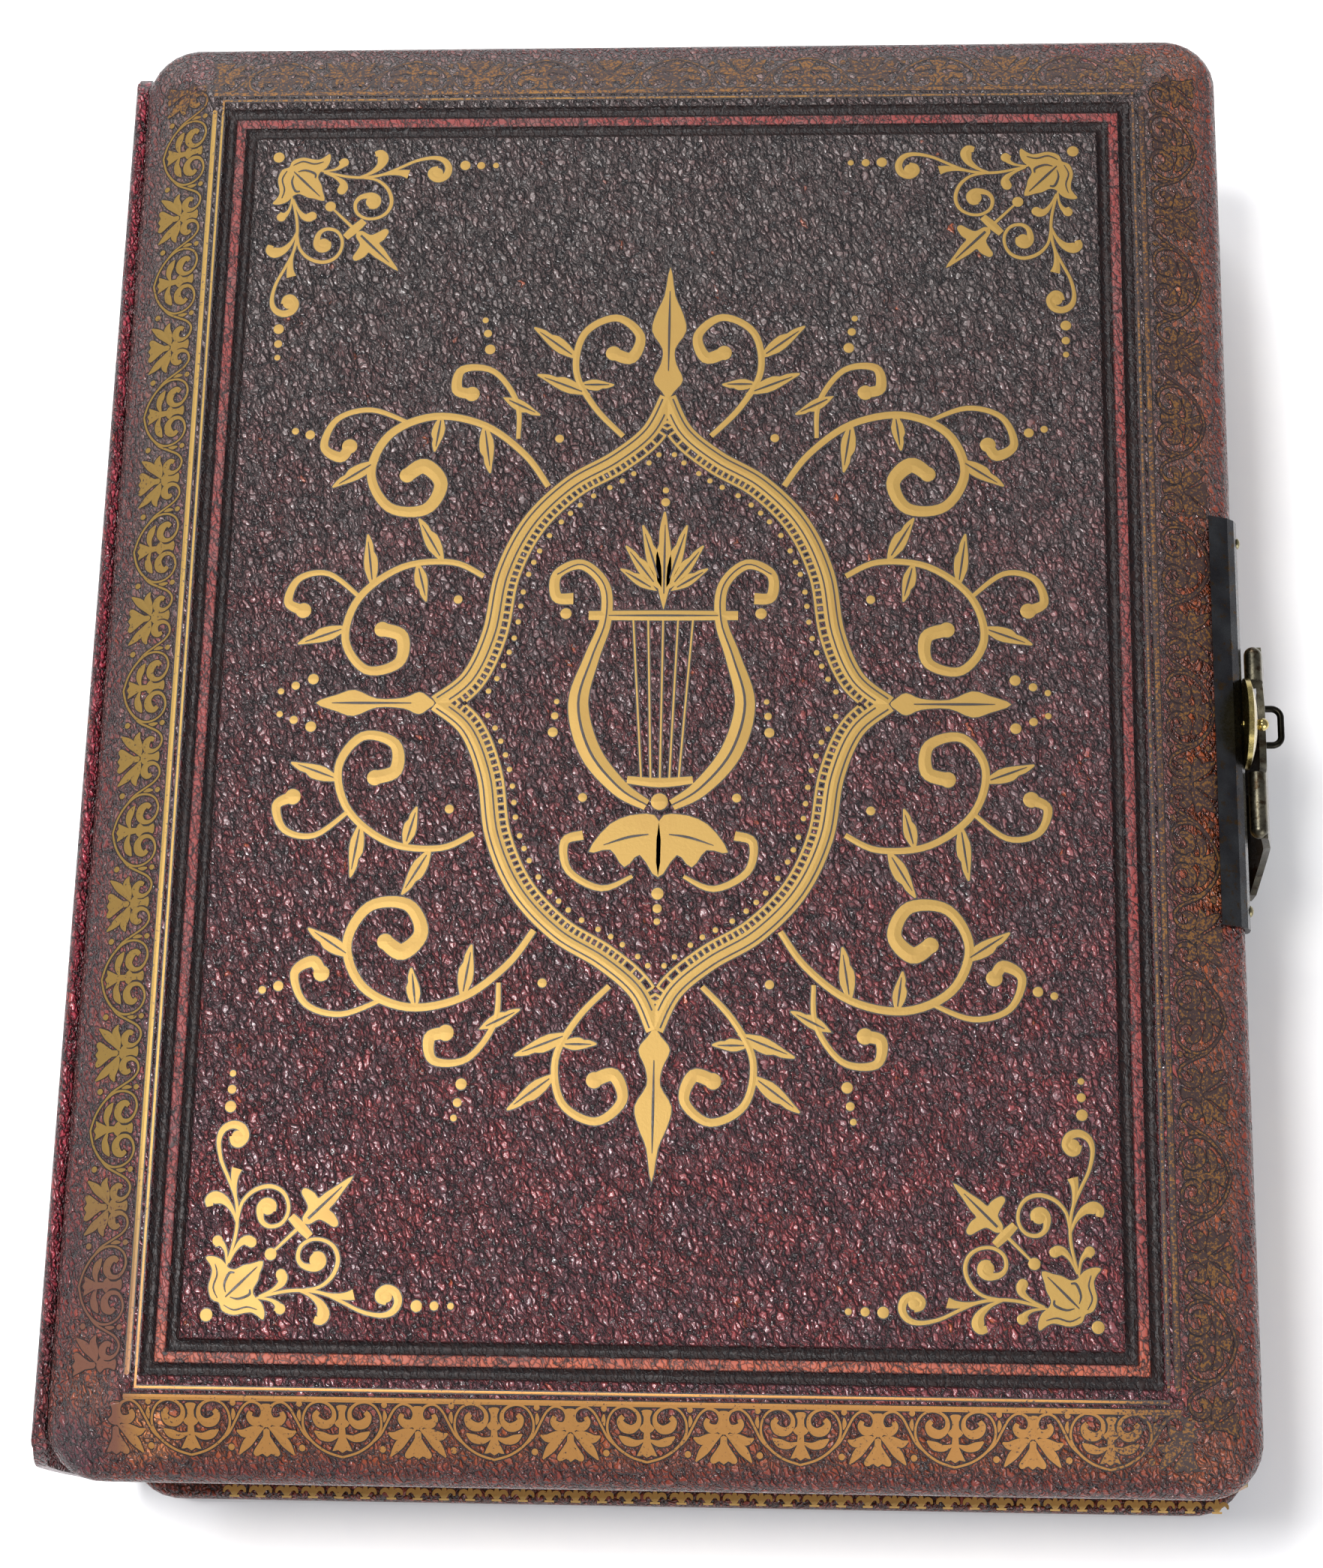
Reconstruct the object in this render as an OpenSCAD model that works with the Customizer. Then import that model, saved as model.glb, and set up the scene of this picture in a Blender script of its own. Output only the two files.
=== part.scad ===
// Leather photograph album with a cylinder music movement in a case behind its leaves.
// It lies closed on its back cover. The origin is the centre of the back cover's underside,
// +X points to the fore-edge, +Y to the head and +Z up through the front cover.

/* [Covers] */
// Width of a cover board, from spine to fore-edge
board_w = 229; // [215:1:245]
// Length of a cover board, from tail to head
board_l = 304; // [285:1:325]
// Thickness of a cover at its flat panel
board_t = 12; // [11:0.5:14]
// Thickness of a cover at its rounded rim
rim_t = 5; // [4.5:0.25:6]
// Width of the sloping border round a cover
bevel_w = 16; // [14:0.5:19]
// Radius of a cover's corners, seen from above
corner_r = 11; // [8:0.5:14]
// Plain margin between the sloping border and the outer groove
groove_margin = 3.1; // [2.5:0.1:6]
// Width of each blind-tooled groove
groove_w = 2.3; // [1.2:0.1:2.6]
// Depth of each blind-tooled groove
groove_d = 0.7; // [0.3:0.1:1]
// Width of the ridge between the two grooves
ridge_w = 2.2; // [1:0.1:3]
// How far the worn binding leans towards the spine at its top
lean = 4; // [0:0.5:5]
// Thickness of the paper pasted inside the front cover
endpaper_t = 0.4; // [0.2:0.1:0.8]
// Leather turned in round the endpaper
turn_in = 9; // [6:0.5:14]

/* [Spine] */
// Radius of the leather roll along each joint
joint_r = 1.5; // [1.3:0.1:1.8]
// Thickness of the spine's leather and lining
spine_t = 2.4; // [1.8:0.1:2.6]
// How far the spine bulges at its middle
spine_bulge = 2.7; // [1.5:0.1:3.2]
// Radius of the spine's ends, which follow the covers' corners
headcap_r = 9; // [6:0.5:11]
// Thickness of the liner glued on the block's back
liner_t = 1.2; // [0.8:0.1:1.8]

/* [Leaves] */
// How far the covers stand out past the leaves
square_w = 4; // [3:0.25:6]
// Thickness of one card leaf
leaf_t = 2; // [1.5:0.1:2.4]
// Number of card leaves
leaf_count = 10; // [8:1:14]
// Height of the groove between two leaves at the edges
leaf_gap = 0.3; // [0.2:0.05:0.5]
// Depth of the groove between two leaves
leaf_gap_depth = 1.2; // [0.6:0.1:2]
// Width of the picture window in the first leaf
window_w = 104; // [80:1:120]
// Height of the picture window's straight sides
window_h = 146; // [120:1:170]
// Rise of the picture window's arched head
window_rise = 12; // [4:1:20]
// Depth of the picture window
window_d = 0.9; // [0.5:0.1:1.2]

/* [Case] */
// Clear height inside the movement case
case_h = 24; // [23.5:0.25:28]
// Thickness of the case's floor
floor_t = 2; // [1.5:0.25:3]
// Thickness of the case's lid
lid_t = 2; // [1.5:0.25:3]
// Width of the case's rails
rail_w = 12; // [9:0.5:14]
// Thickness of the two partitions
partition_t = 6; // [4:0.5:7]
// Radius of the keyhole in the tail rail
keyhole_r = 4; // [3.5:0.25:5]
// Width of the keyhole's brass ring
escutcheon_w = 2.5; // [1.5:0.25:3.5]
// Thickness of the keyhole's brass ring
escutcheon_t = 0.8; // [0.5:0.1:1.2]

/* [Movement] */
// Thickness of the bedplate
bed_t = 2.5; // [2:0.25:3]
// Height of the arbors above the bedplate
axis_h = 10.3; // [10.1:0.1:10.6]
// Radius of the cylinder
cylinder_r = 7.5; // [6.5:0.1:7.7]
// Length of the cylinder
cylinder_l = 50; // [46:1:51]
// Height that the cylinder's pins stand out
pin_h = 0.7; // [0.5:0.05:0.8]
// Number of comb teeth
tooth_count = 36; // [24:1:40]
// Thickness of the comb
comb_t = 1.2; // [0.9:0.1:1.5]
// Width of the slot between two comb teeth
comb_slot = 0.4; // [0.3:0.05:0.5]
// Radius of the cylinder's arbor
arbor_r = 1.2; // [1:0.05:1.4]
// Radius of the barrel's arbor
winder_r = 1.6; // [1.4:0.05:1.8]
// Radius of the spring barrel's drum
drum_r = 8.4; // [8:0.1:8.5]
// Length of the spring barrel's drum
drum_l = 22; // [19:0.5:22]
// Wall of the spring barrel's drum
drum_wall = 0.8; // [0.6:0.1:1]
// Thickness of the mainspring's strip
spring_t = 0.35; // [0.25:0.05:0.45]
// Module of the barrel wheel and its pinion
drive_m = 0.5; // [0.47:0.01:0.51]
// Teeth on the barrel wheel
drive_teeth = 36; // [34:1:36]
// Teeth on the cylinder's pinion
pinion_teeth = 12; // [11:1:13]
// Module of the cylinder wheel and the governor's pinion
governor_m = 0.3; // [0.28:0.01:0.31]
// Teeth on the cylinder wheel
wheel_teeth = 60; // [56:1:61]
// Teeth on the governor's pinion
governor_teeth = 10; // [9:1:11]
// Teeth on the worm wheel
worm_teeth = 24; // [20:1:25]
// Module of the worm wheel
worm_m = 0.4; // [0.36:0.01:0.42]
// Radius of the worm's core
worm_r = 1; // [0.8:0.05:1.1]
// Radius of the fly's blades
fly_r = 4.4; // [3.5:0.1:4.6]
// Thickness of the sheet steel of click and stop lever
lever_t = 1.2; // [1:0.1:1.4]

/* [Clasp] */
// Place of the clasp along the fore-edge, from the middle
clasp_y = -1; // [-20:1:20]
// Length of each clasp plate along the fore-edge
plate_l = 85; // [76:1:92]
// Thickness of the clasp's sheet brass
plate_t = 1; // [0.8:0.1:1.2]
// How far a clasp plate reaches up the sloping border
plate_reach = 5; // [3:0.25:7]
// Width of the clasp's arm
arm_w = 40; // [34:1:46]
// Thickness of the clasp's arm
arm_t = 1.4; // [1.2:0.1:1.6]
// How far the arm bows out at its middle
arm_bow = 2; // [1:0.25:3]
// Radius of the bead along the arm's upper edge
bead_r = 1.8; // [1.4:0.1:2]
// Radius of the round turn-button
button_r = 9.2; // [7:0.2:10]
// Thickness of the turn-button at its middle
button_t = 2.4; // [1.8:0.1:3]
// Radius of the stud on which the turn-button turns
stud_r = 0.9; // [0.7:0.05:1.1]
// Radius of the stud's ball head
ball_r = 1.3; // [1.2:0.1:1.6]
// Radius of the wire in the thumb loop
wire_r = 0.7; // [0.5:0.05:0.8]
// Length of the thumb loop's straight bar
loop_l = 4; // [3:0.1:5]
// Radius of the thumb loop's bends, to the wire's middle
loop_r = 1.9; // [1.5:0.1:2.2]
// Height of the thumb loop on the arm, above the hinge
loop_h = 38; // [30:0.5:41]
// Outer radius of the hinge's knuckles
knuckle_r = 1.7; // [1.5:0.1:2]
// Radius of the hinge pin
hinge_pin_r = 0.8; // [0.6:0.05:0.9]

/* [Hidden] */

$fn = 48;
thin = 0.01;        // height of a slice that a hull closes over
run_gap = 0.05;     // radial clearance of a shaft in its hole
rest_gap = 0.3;     // clearance between pieces that move apart
lap = 0.4;          // how far two parts of one solid run into each other

// Heights of the layers
rail_z = board_t + floor_t;
lid_z = rail_z + case_h;
leaf_z = lid_z + lid_t;
block_t = leaf_t * leaf_count;
cover_z = leaf_z + block_t + rest_gap + endpaper_t;

// Plan of the block, the case and the spine
edge_x = board_w / 2;
block_x0 = 3.5 - edge_x;
block_x1 = edge_x - square_w;
block_y = board_l / 2 - square_w;
inner_y = block_y - rail_w;
joint_x = -edge_x - joint_r - rest_gap;
joint_lift = joint_r + 0.2;
front_joint = [joint_x - lean, cover_z + joint_lift];
back_joint = [joint_x, board_t - joint_lift];
spine_in = 3;
spine_l = board_l - 2 * spine_in;
spine_steps = 20;
spine_x0 = joint_x - lean - joint_r - spine_bulge - 1;
spine_x1 = joint_x + joint_r + spine_t + 1;

// Section of a cover's rim: height above its inner face, and inset from its edge
rim_profile = [[0, 1.2], [0.6, 0.35], [1.6, 0], [rim_t - 1.8, 0], [rim_t - 0.5, 0.55],
    [rim_t + 0.6, 1.7], [board_t - 0.6, bevel_w - 1.8], [board_t - 0.15, bevel_w - 0.5],
    [board_t, bevel_w + 0.8]];
rim_face_h = rim_t / 2;

// Well for the movement: u runs along the cylinder (+Y), v across it (+X)
move_x = 45;
move_y = -74;
bed_u0 = -52;
bed_u1 = 50;
bed_v0 = -30;
bed_v1 = 36;
bed_margin = 1;
bed_screw_in = 4;
bed_screw_r = 1.4;
bed_screw_head = 2.6;
foot_t = 1.8;
foot_l = 3.4;
foot_screw_r = 0.8;
foot_screw_head = 1.5;
foot_screw_t = 0.9;
bed_z = rail_z + bed_t;
axis_z = bed_z + axis_h;
wall_x = move_x + bed_v0 - bed_margin;
wall_y = move_y + bed_u1 + bed_margin;

// Gear proportions
gear_add = 0.8;
gear_ded = 1.1;
gear_press = 25;
gear_share = 0.92;
pinion_r = drive_m * pinion_teeth / 2;
drive_r = drive_m * drive_teeth / 2;
wheel_r = governor_m * wheel_teeth / 2;
governor_r = governor_m * governor_teeth / 2;
worm_wheel_r = worm_m * worm_teeth / 2;
worm_wheel_tip = worm_wheel_r + gear_add * worm_m;

// Cylinder and barrel, from tail to head
cylinder_u0 = -18;
cylinder_u1 = cylinder_u0 + cylinder_l;
barrel_v = -(pinion_r + drive_r);
drive_t = 2.2;
drive_u = -22.8;
drum_u0 = drive_u - drum_l;
cap_t = 1;
pinion_t = drive_t - 0.2;
pinion_u = drive_u + 0.1;
cock_t = 3;
cock_gap = 0.7;
cylinder_tail_u = drive_u - 1.2 - cock_t;
barrel_tail_u = drum_u0 - cock_gap - cock_t;
barrel_head_u = drive_u + drive_t + cock_gap;
barrel_head_t = 2;
ratchet_t = 1.8;
ratchet_r = 5;
ratchet_depth = 0.8;
ratchet_teeth = 16;
ratchet_u = barrel_tail_u - cock_gap - ratchet_t;
winder_u0 = -inner_y - move_y + 1;
winder_square = 2.2;
winder_square_l = 8;
click_in = [9.2, 2];
click_v = barrel_v + click_in[0];
click_z = axis_z - click_in[1];
click_u = ratchet_u + 0.3;
click_tip_r = 0.35;
click_tip_out = ratchet_r + 0.9;
click_tip_a = -50;
click_tip = [click_tip_out * cos(click_tip_a), click_tip_out * sin(click_tip_a)] - click_in;
click_stud_head = 1.3;
click_stud_t = 0.8;
click_r = 1.6;
click_stud_r = 0.7;

// Governor at the cylinder's head
wheel_u = cylinder_u1 + 1;
wheel_t = 2;
head_cock_u = wheel_u + wheel_t + 1.6;
governor_v = -(wheel_r + governor_r);
governor_arbor_r = 0.7;
post_u = wheel_u - 5.4;
post_t = 2.4;
worm_wheel_t = 1.6;
worm_wheel_u = head_cock_u + cock_t + 0.8;
worm_u = worm_wheel_u + worm_wheel_t / 2;
worm_v = governor_v - worm_wheel_tip - worm_r - 0.2;
pivot_r = 0.5;
fly_z = axis_z + worm_wheel_tip + 0.4;
fly_h = 2.8;
fly_blade_t = 0.5;
bridge_t = 1.5;
bridge_z = rail_z + case_h - 0.6 - bridge_t;
bridge_u = worm_u + fly_r + 0.9;

// Comb
comb_v0 = cylinder_r + pin_h + 0.15;
comb_v1 = 33;
comb_z = axis_z - comb_t / 2;
comb_l = cylinder_l - 2;
comb_pitch = comb_l / tooth_count;
comb_root_bass = 24;
comb_root_treble = 15;
comb_base_v0 = 25;
comb_screw_r = 1;
comb_screw_head = 1.9;
comb_screw_t = 1.2;
comb_screw_count = 4;
lead_count = 12;
lead_l = 5;
lead_t = 1.5;
comb_screw_places = [for (i = [0 : comb_screw_count - 1])
    [(comb_base_v0 + comb_v1) / 2,
        cylinder_u0 + 1 + comb_l * (i + 0.5) / comb_screw_count]];

// Screws of the brackets' feet, as v and u
foot_screws = [
    [5.5, cylinder_tail_u - foot_l / 2],
    [4, head_cock_u + cock_t + foot_l / 2],
    [barrel_v - 3.5, barrel_tail_u - foot_l / 2],
    [barrel_v - 2.5, barrel_head_u + barrel_head_t + foot_l / 2],
    [governor_v - 2.5, post_u - foot_l / 2],
    [worm_v - 5, bridge_u + 1.5]];

// Stop lever
stop_u = 46;
stop_pivot_v = 22;
stop_tip_v = worm_v + fly_r + 0.9;
stop_end_v = block_x1 + rest_gap + 0.2 - move_x;
stop_z = bed_z + foot_t + foot_screw_t + rest_gap;
stop_w = 3;
stop_boss_r = 2.8;
stop_stud_r = 1.2;
stop_stud_head = 2.2;
stop_stud_t = 0.8;
finger_r = 0.4;
stop_slot_w = 9;
stop_slot_h = lever_t + 1.4;
knob_r = 2;
knob_t = 2.2;

// Clasp: plates follow the rim, the arm swings on the back plate
plate_gap = 0.12;
plate_face = edge_x + plate_gap + plate_t;
clasp_pin_r = 0.6;
clasp_pin_in = 4;
clasp_pin_l = 6;
button_x = plate_face + 0.1;
button_edge_t = 1;
ball_x = button_x + button_t + 0.1 + ball_r;
stud_root = 7;
arm_clear = 0.35;
hinge_x = plate_face + knuckle_r + arm_clear;
hinge_z = board_t - rim_face_h;
bead_x = plate_face - lean + bead_r + 1;
bead_z = cover_z + 0.4;
knuckle_count = 5;
knuckle_l = arm_w / knuckle_count;
arm_y = clasp_y - 3;
arm_foot = [hinge_x + knuckle_r - arm_t / 2, hinge_z];
arm_head = [bead_x + bead_r - arm_t / 2 - 0.1, bead_z];
waist_r = 60;
waist_d = 3;
loop_y = clasp_y + 4.5;

// Rounded rectangle about the origin
module rounded_plan(w, l, r) {
    offset(r = r) square([w - 2 * r, l - 2 * r], center = true);
}

// Cover with its inner face at z = 0 and its panel at z = board_t
module cover_form() {
    hull()
        for (p = rim_profile)
            translate([0, 0, min(p[0], board_t - thin)])
                linear_extrude(height = thin)
                    rounded_plan(board_w - 2 * p[1], board_l - 2 * p[1],
                        max(corner_r - p[1], 1), $fn = 32);
}

// Rectangular groove whose outer edge lies at an inset from the cover's edge
module panel_groove(inset) {
    translate([0, 0, board_t - groove_d])
        linear_extrude(height = groove_d + 1)
            difference() {
                square([board_w - 2 * inset, board_l - 2 * inset], center = true);
                square([board_w - 2 * (inset + groove_w), board_l - 2 * (inset + groove_w)],
                    center = true);
            }
}

// Cover with its two blind-tooled grooves
module tooled_cover() {
    difference() {
        cover_form();
        panel_groove(bevel_w + groove_margin);
        panel_groove(bevel_w + groove_margin + groove_w + ridge_w);
    }
}

// Holes for the nails of a clasp plate, in a cover's own frame
module nail_holes() {
    for (side = [-1, 1])
        translate([edge_x - clasp_pin_l, clasp_y + side * (plate_l / 2 - clasp_pin_in), rim_face_h])
            rotate([0, 90, 0]) cylinder(r = clasp_pin_r, h = clasp_pin_l + 4);
}

// Two domed nails of a clasp plate, in a cover's own frame
module nails() {
    head = clasp_pin_l + plate_gap + plate_t;
    for (side = [-1, 1])
        translate([edge_x - clasp_pin_l, clasp_y + side * (plate_l / 2 - clasp_pin_in), rim_face_h])
            rotate([0, 90, 0])
                rotate_extrude()
                    polygon(concat([[0, 0], [clasp_pin_r, 0], [clasp_pin_r, head]],
                        [for (a = [0 : 15 : 90]) [1.2 * cos(a), head + 0.8 * sin(a)]]));
}

// Section of the rim at the fore-edge
module rim_section() {
    polygon(concat([for (p = rim_profile) [edge_x - p[1], p[0]]],
        [[edge_x - 30, board_t], [edge_x - 30, 0]]));
}

// Bent plate that wraps the rim at the fore-edge, in a cover's own frame
module rim_plate() {
    translate([0, clasp_y + plate_l / 2, 0])
        rotate([90, 0, 0])
            linear_extrude(height = plate_l)
                intersection() {
                    difference() {
                        offset(delta = plate_gap + plate_t) rim_section();
                        offset(delta = plate_gap) rim_section();
                    }
                    translate([edge_x - plate_reach, 0.5]) square([30, board_t]);
                }
}

// Moves a piece of the front cover from a cover's own frame to its place
module at_front() {
    translate([-lean, 0, cover_z]) children();
}

// Moves a piece of the back cover from a cover's own frame to its place
module at_back() {
    translate([0, 0, board_t]) mirror([0, 0, 1]) children();
}

// Moves a piece of the movement to the case
module in_case() {
    translate([move_x, move_y, 0]) children();
}

// Cylinder along +Y from u, about a point in v and z
module rod(v, u, z, r, l) {
    translate([v, u, z]) rotate([-90, 0, 0]) cylinder(r = r, h = l);
}

// Plate of a thickness along +Y whose outline is drawn in v and -z
module slab(v, u, z, t) {
    translate([v, u, z]) rotate([-90, 0, 0]) linear_extrude(height = t) children();
}

// Polar angle that an involute has gained at a radius, in degrees
function involute(base, r) =
    let (a = acos(min(1, base / r))) tan(a) * 180 / PI - a;

// One flank's half angle at a radius, for a gear of n teeth and module m
function flank(n, m, r) =
    let (pitch = n * m / 2, base = pitch * cos(gear_press))
    90 / n * gear_share + involute(base, pitch) - involute(base, max(r, base));

// Outline of a spur gear, with the middle of a tooth at the angle turn
function gear_points(n, m, turn) =
    let (pitch = n * m / 2, base = pitch * cos(gear_press),
        root = pitch - gear_ded * m, tip = pitch + gear_add * m, low = max(root, base),
        radii = [root, low + 0.002, (low + pitch) / 2, pitch, (pitch + tip) / 2, tip])
    [for (i = [0 : n - 1], side = [-1, 1], k = [0 : 5])
        let (r = radii[side < 0 ? k : 5 - k], a = turn + i * 360 / n + side * flank(n, m, r))
        [r * cos(a), r * sin(a)]];

// Saw-toothed outline of the ratchet wheel
function ratchet_points() =
    [for (i = [0 : ratchet_teeth - 1], k = [0, 1])
        let (a = i * 360 / ratchet_teeth, r = ratchet_r - k * ratchet_depth)
        [r * cos(a), r * sin(a)]];

// Flat spiral strip from an inner to an outer radius
function spiral_points(r0, r1, turns, t) =
    let (n = turns * 20,
        arm = [for (i = [0 : n]) let (a = i * 18, r = r0 + (r1 - r0) * i / n) [r, a]])
    concat([for (p = arm) [p[0] * cos(p[1]), p[0] * sin(p[1])]],
        [for (i = [n : -1 : 0]) let (p = arm[i]) [(p[0] + t) * cos(p[1]), (p[0] + t) * sin(p[1])]]);

// Points along a line from a to b that bows to its left by an amount
function bowed(a, b, bow, steps) =
    let (along = b - a, side = [-along[1], along[0]] / norm(along))
    [for (i = [0 : steps]) let (s = i / steps) a + along * s + side * (4 * bow * s * (1 - s))];

function reversed(points) = [for (i = [len(points) - 1 : -1 : 0]) points[i]];

// Sideways shift of a leaf at a height, where the block leans
function lean_at(z) = -lean * (z - leaf_z) / (cover_z - leaf_z);

module front_cover() {
    color("#3a2226")
        at_front()
            difference() {
                tooled_cover();
                nail_holes();
                translate([edge_x - stud_root, clasp_y, rim_face_h])
                    rotate([0, 90, 0]) cylinder(r = stud_r, h = stud_root + 2);
            }
}

module front_endpaper() {
    color("#d8cdb4")
        translate([-lean, 0, cover_z - endpaper_t])
            linear_extrude(height = endpaper_t)
                square([board_w - 2 * turn_in, board_l - 2 * turn_in], center = true);
}

// Rounded leather spine with the roll of each joint along its edges
module spine_shell() {
    outer = bowed(back_joint - [spine_t / 2, 0], front_joint - [spine_t / 2, 0],
        spine_bulge, spine_steps);
    inner = bowed(back_joint + [spine_t / 2, 0], front_joint + [spine_t / 2, 0],
        spine_bulge, spine_steps);
    color("#45232a")
        intersection() {
            translate([0, spine_l / 2, 0])
                rotate([90, 0, 0])
                    linear_extrude(height = spine_l)
                        union() {
                            polygon(concat(outer, reversed(inner)));
                            translate(back_joint) circle(r = joint_r);
                            translate(front_joint) circle(r = joint_r);
                        }
            translate([spine_x0, 0, (back_joint[1] + front_joint[1]) / 2])
                rotate([90, 0, 90])
                    linear_extrude(height = spine_x1 - spine_x0)
                        rounded_plan(spine_l, front_joint[1] - back_joint[1] + 2 * joint_r,
                            headcap_r);
        }
}

module spine_liner() {
    color("#8d7a5c")
        translate([0, block_y, 0])
            rotate([90, 0, 0])
                linear_extrude(height = 2 * block_y)
                    polygon([[block_x0, board_t], [block_x0, leaf_z],
                        [block_x0 + lean_at(leaf_z + block_t), leaf_z + block_t],
                        [block_x0 + lean_at(leaf_z + block_t) - liner_t, leaf_z + block_t],
                        [block_x0 - liner_t, leaf_z], [block_x0 - liner_t, board_t]]);
}

module window_plan() {
    intersection() {
        translate([-window_w / 2, -window_h / 2]) square([window_w, window_h + window_rise]);
        let (r = (pow(window_w / 2, 2) + pow(window_rise, 2)) / (2 * window_rise))
            translate([0, window_h / 2 + window_rise - r]) circle(r = r, $fn = 160);
    }
}

// The card leaves as one solid, stepped over by the lean, with a groove between each two
module leaf_block() {
    top = leaf_z + block_t;
    core_x = block_x1 - leaf_gap_depth;
    color("#c9b071")
        difference() {
            union() {
                translate([0, block_y - leaf_gap_depth, 0])
                    rotate([90, 0, 0])
                        linear_extrude(height = 2 * (block_y - leaf_gap_depth))
                            polygon([[block_x0, leaf_z], [core_x, leaf_z],
                                [core_x + lean_at(top), top], [block_x0 + lean_at(top), top]]);
                for (i = [0 : leaf_count - 1])
                    let (z = leaf_z + i * leaf_t, x0 = block_x0 + lean_at(z + leaf_t),
                        x1 = block_x1 + lean_at(z + leaf_t / 2))
                    translate([x0 + lean, -block_y, z])
                        cube([x1 - x0 - lean, 2 * block_y,
                            leaf_t - (i < leaf_count - 1 ? leaf_gap : 0)]);
            }
            translate([(block_x0 + block_x1) / 2 - lean, 0, top - window_d])
                linear_extrude(height = window_d + 1) window_plan();
        }
}

module back_cover() {
    color("#3a2226")
        at_back()
            difference() {
                tooled_cover();
                nail_holes();
            }
}

// Places of the bedplate's four screws
module bed_screw_places() {
    in_case()
        for (u = [bed_u0 + bed_screw_in, bed_u1 - bed_screw_in],
                v = [bed_v0 + bed_screw_in, bed_v1 - bed_screw_in])
            translate([v, u, 0]) children();
}

module case_floor() {
    color("#b08d57")
        difference() {
            translate([block_x0, -block_y, board_t])
                cube([block_x1 - block_x0, 2 * block_y, floor_t]);
            bed_screw_places()
                translate([0, 0, board_t - 1]) cylinder(r = bed_screw_r, h = floor_t + 2);
        }
}

module end_rail(side) {
    translate([block_x0 + rail_w, side > 0 ? inner_y : -block_y, rail_z])
        cube([block_x1 - block_x0 - 2 * rail_w, rail_w, case_h]);
}

module rail_head() {
    color("#b08d57") end_rail(1);
}

// Tail rail with the keyhole and the seat of its ring
module rail_tail() {
    color("#b08d57")
        difference() {
            end_rail(-1);
            translate([move_x + barrel_v, -block_y - 1, axis_z])
                rotate([-90, 0, 0]) cylinder(r = keyhole_r, h = rail_w + 2);
            translate([move_x + barrel_v, -block_y - 1, axis_z])
                rotate([-90, 0, 0]) cylinder(r = keyhole_r + escutcheon_w, h = escutcheon_t + 1);
        }
}

// Fore-edge rail with the slot for the stop lever
module rail_fore() {
    color("#b08d57")
        difference() {
            translate([block_x1 - rail_w, -block_y, rail_z])
                cube([rail_w, 2 * block_y, case_h]);
            translate([block_x1 - rail_w - 1, move_y + stop_u - stop_w / 2 - 1, stop_z - 0.7])
                cube([rail_w + 2, stop_slot_w, stop_slot_h]);
        }
}

module rail_spine() {
    color("#b08d57")
        translate([block_x0, -block_y, rail_z]) cube([rail_w, 2 * block_y, case_h]);
}

module partition_long() {
    color("#a8834c")
        translate([wall_x - partition_t, -inner_y, rail_z])
            cube([partition_t, 2 * inner_y, case_h]);
}

module partition_cross() {
    color("#a8834c")
        translate([wall_x, wall_y, rail_z])
            cube([block_x1 - rail_w - wall_x, partition_t, case_h]);
}

module case_lid() {
    color("#cbb98f")
        translate([block_x0, -block_y, lid_z])
            cube([block_x1 - block_x0, 2 * block_y, lid_t]);
}

module keyhole_escutcheon() {
    color("#c8a951")
        translate([move_x + barrel_v, -block_y, axis_z])
            rotate([-90, 0, 0])
                difference() {
                    cylinder(r = keyhole_r + escutcheon_w, h = escutcheon_t);
                    translate([0, 0, -1]) cylinder(r = keyhole_r, h = escutcheon_t + 2);
                }
}

module bedplate() {
    color("#b9974a")
        difference() {
            in_case()
                translate([(bed_v0 + bed_v1) / 2, (bed_u0 + bed_u1) / 2, rail_z])
                    linear_extrude(height = bed_t)
                        rounded_plan(bed_v1 - bed_v0, bed_u1 - bed_u0, 3);
            bed_screw_places() {
                translate([0, 0, rail_z - 1]) cylinder(r = bed_screw_r, h = bed_t + 2);
                translate([0, 0, bed_z - bed_screw_head + bed_screw_r])
                    cylinder(r1 = bed_screw_r, r2 = bed_screw_head, h = bed_screw_head - bed_screw_r);
            }
            in_case() {
                for (p = foot_screws)
                    translate([p[0], p[1], rail_z - 1]) cylinder(r = foot_screw_r, h = bed_t + 2);
                for (p = comb_screw_places)
                    translate([p[0], p[1], rail_z - 1]) cylinder(r = comb_screw_r, h = bed_t + 2);
                translate([worm_v, worm_u, bed_z - 1]) cylinder(r = pivot_r + run_gap, h = 2);
                translate([stop_pivot_v, stop_u, rail_z - 1])
                    cylinder(r = stop_stud_r, h = bed_t + 2);
            }
        }
}

// Countersunk screws that hold the bedplate to the case's floor
module bedplate_screws() {
    color("#8f8f93")
        bed_screw_places()
            difference() {
                union() {
                    translate([0, 0, board_t]) cylinder(r = bed_screw_r, h = floor_t + bed_t);
                    translate([0, 0, bed_z - bed_screw_head + bed_screw_r])
                        cylinder(r1 = bed_screw_r, r2 = bed_screw_head,
                            h = bed_screw_head - bed_screw_r);
                }
                screw_slot(bed_screw_head, bed_z);
            }
}

// Cut of a screwdriver slot across a head of a radius whose top is at z
module screw_slot(r, z) {
    translate([-r - 1, -0.3, z - 0.5]) cube([2 * r + 2, 0.6, 1]);
}

module bracket_screws() {
    color("#5b6fa8")
        in_case()
            for (p = foot_screws)
                translate([p[0], p[1], 0])
                    difference() {
                        union() {
                            translate([0, 0, rail_z]) cylinder(r = foot_screw_r, h = bed_t + foot_t);
                            translate([0, 0, bed_z + foot_t])
                                cylinder(r = foot_screw_head, h = foot_screw_t);
                        }
                        screw_slot(foot_screw_head, bed_z + foot_t + foot_screw_t);
                    }
}

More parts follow.
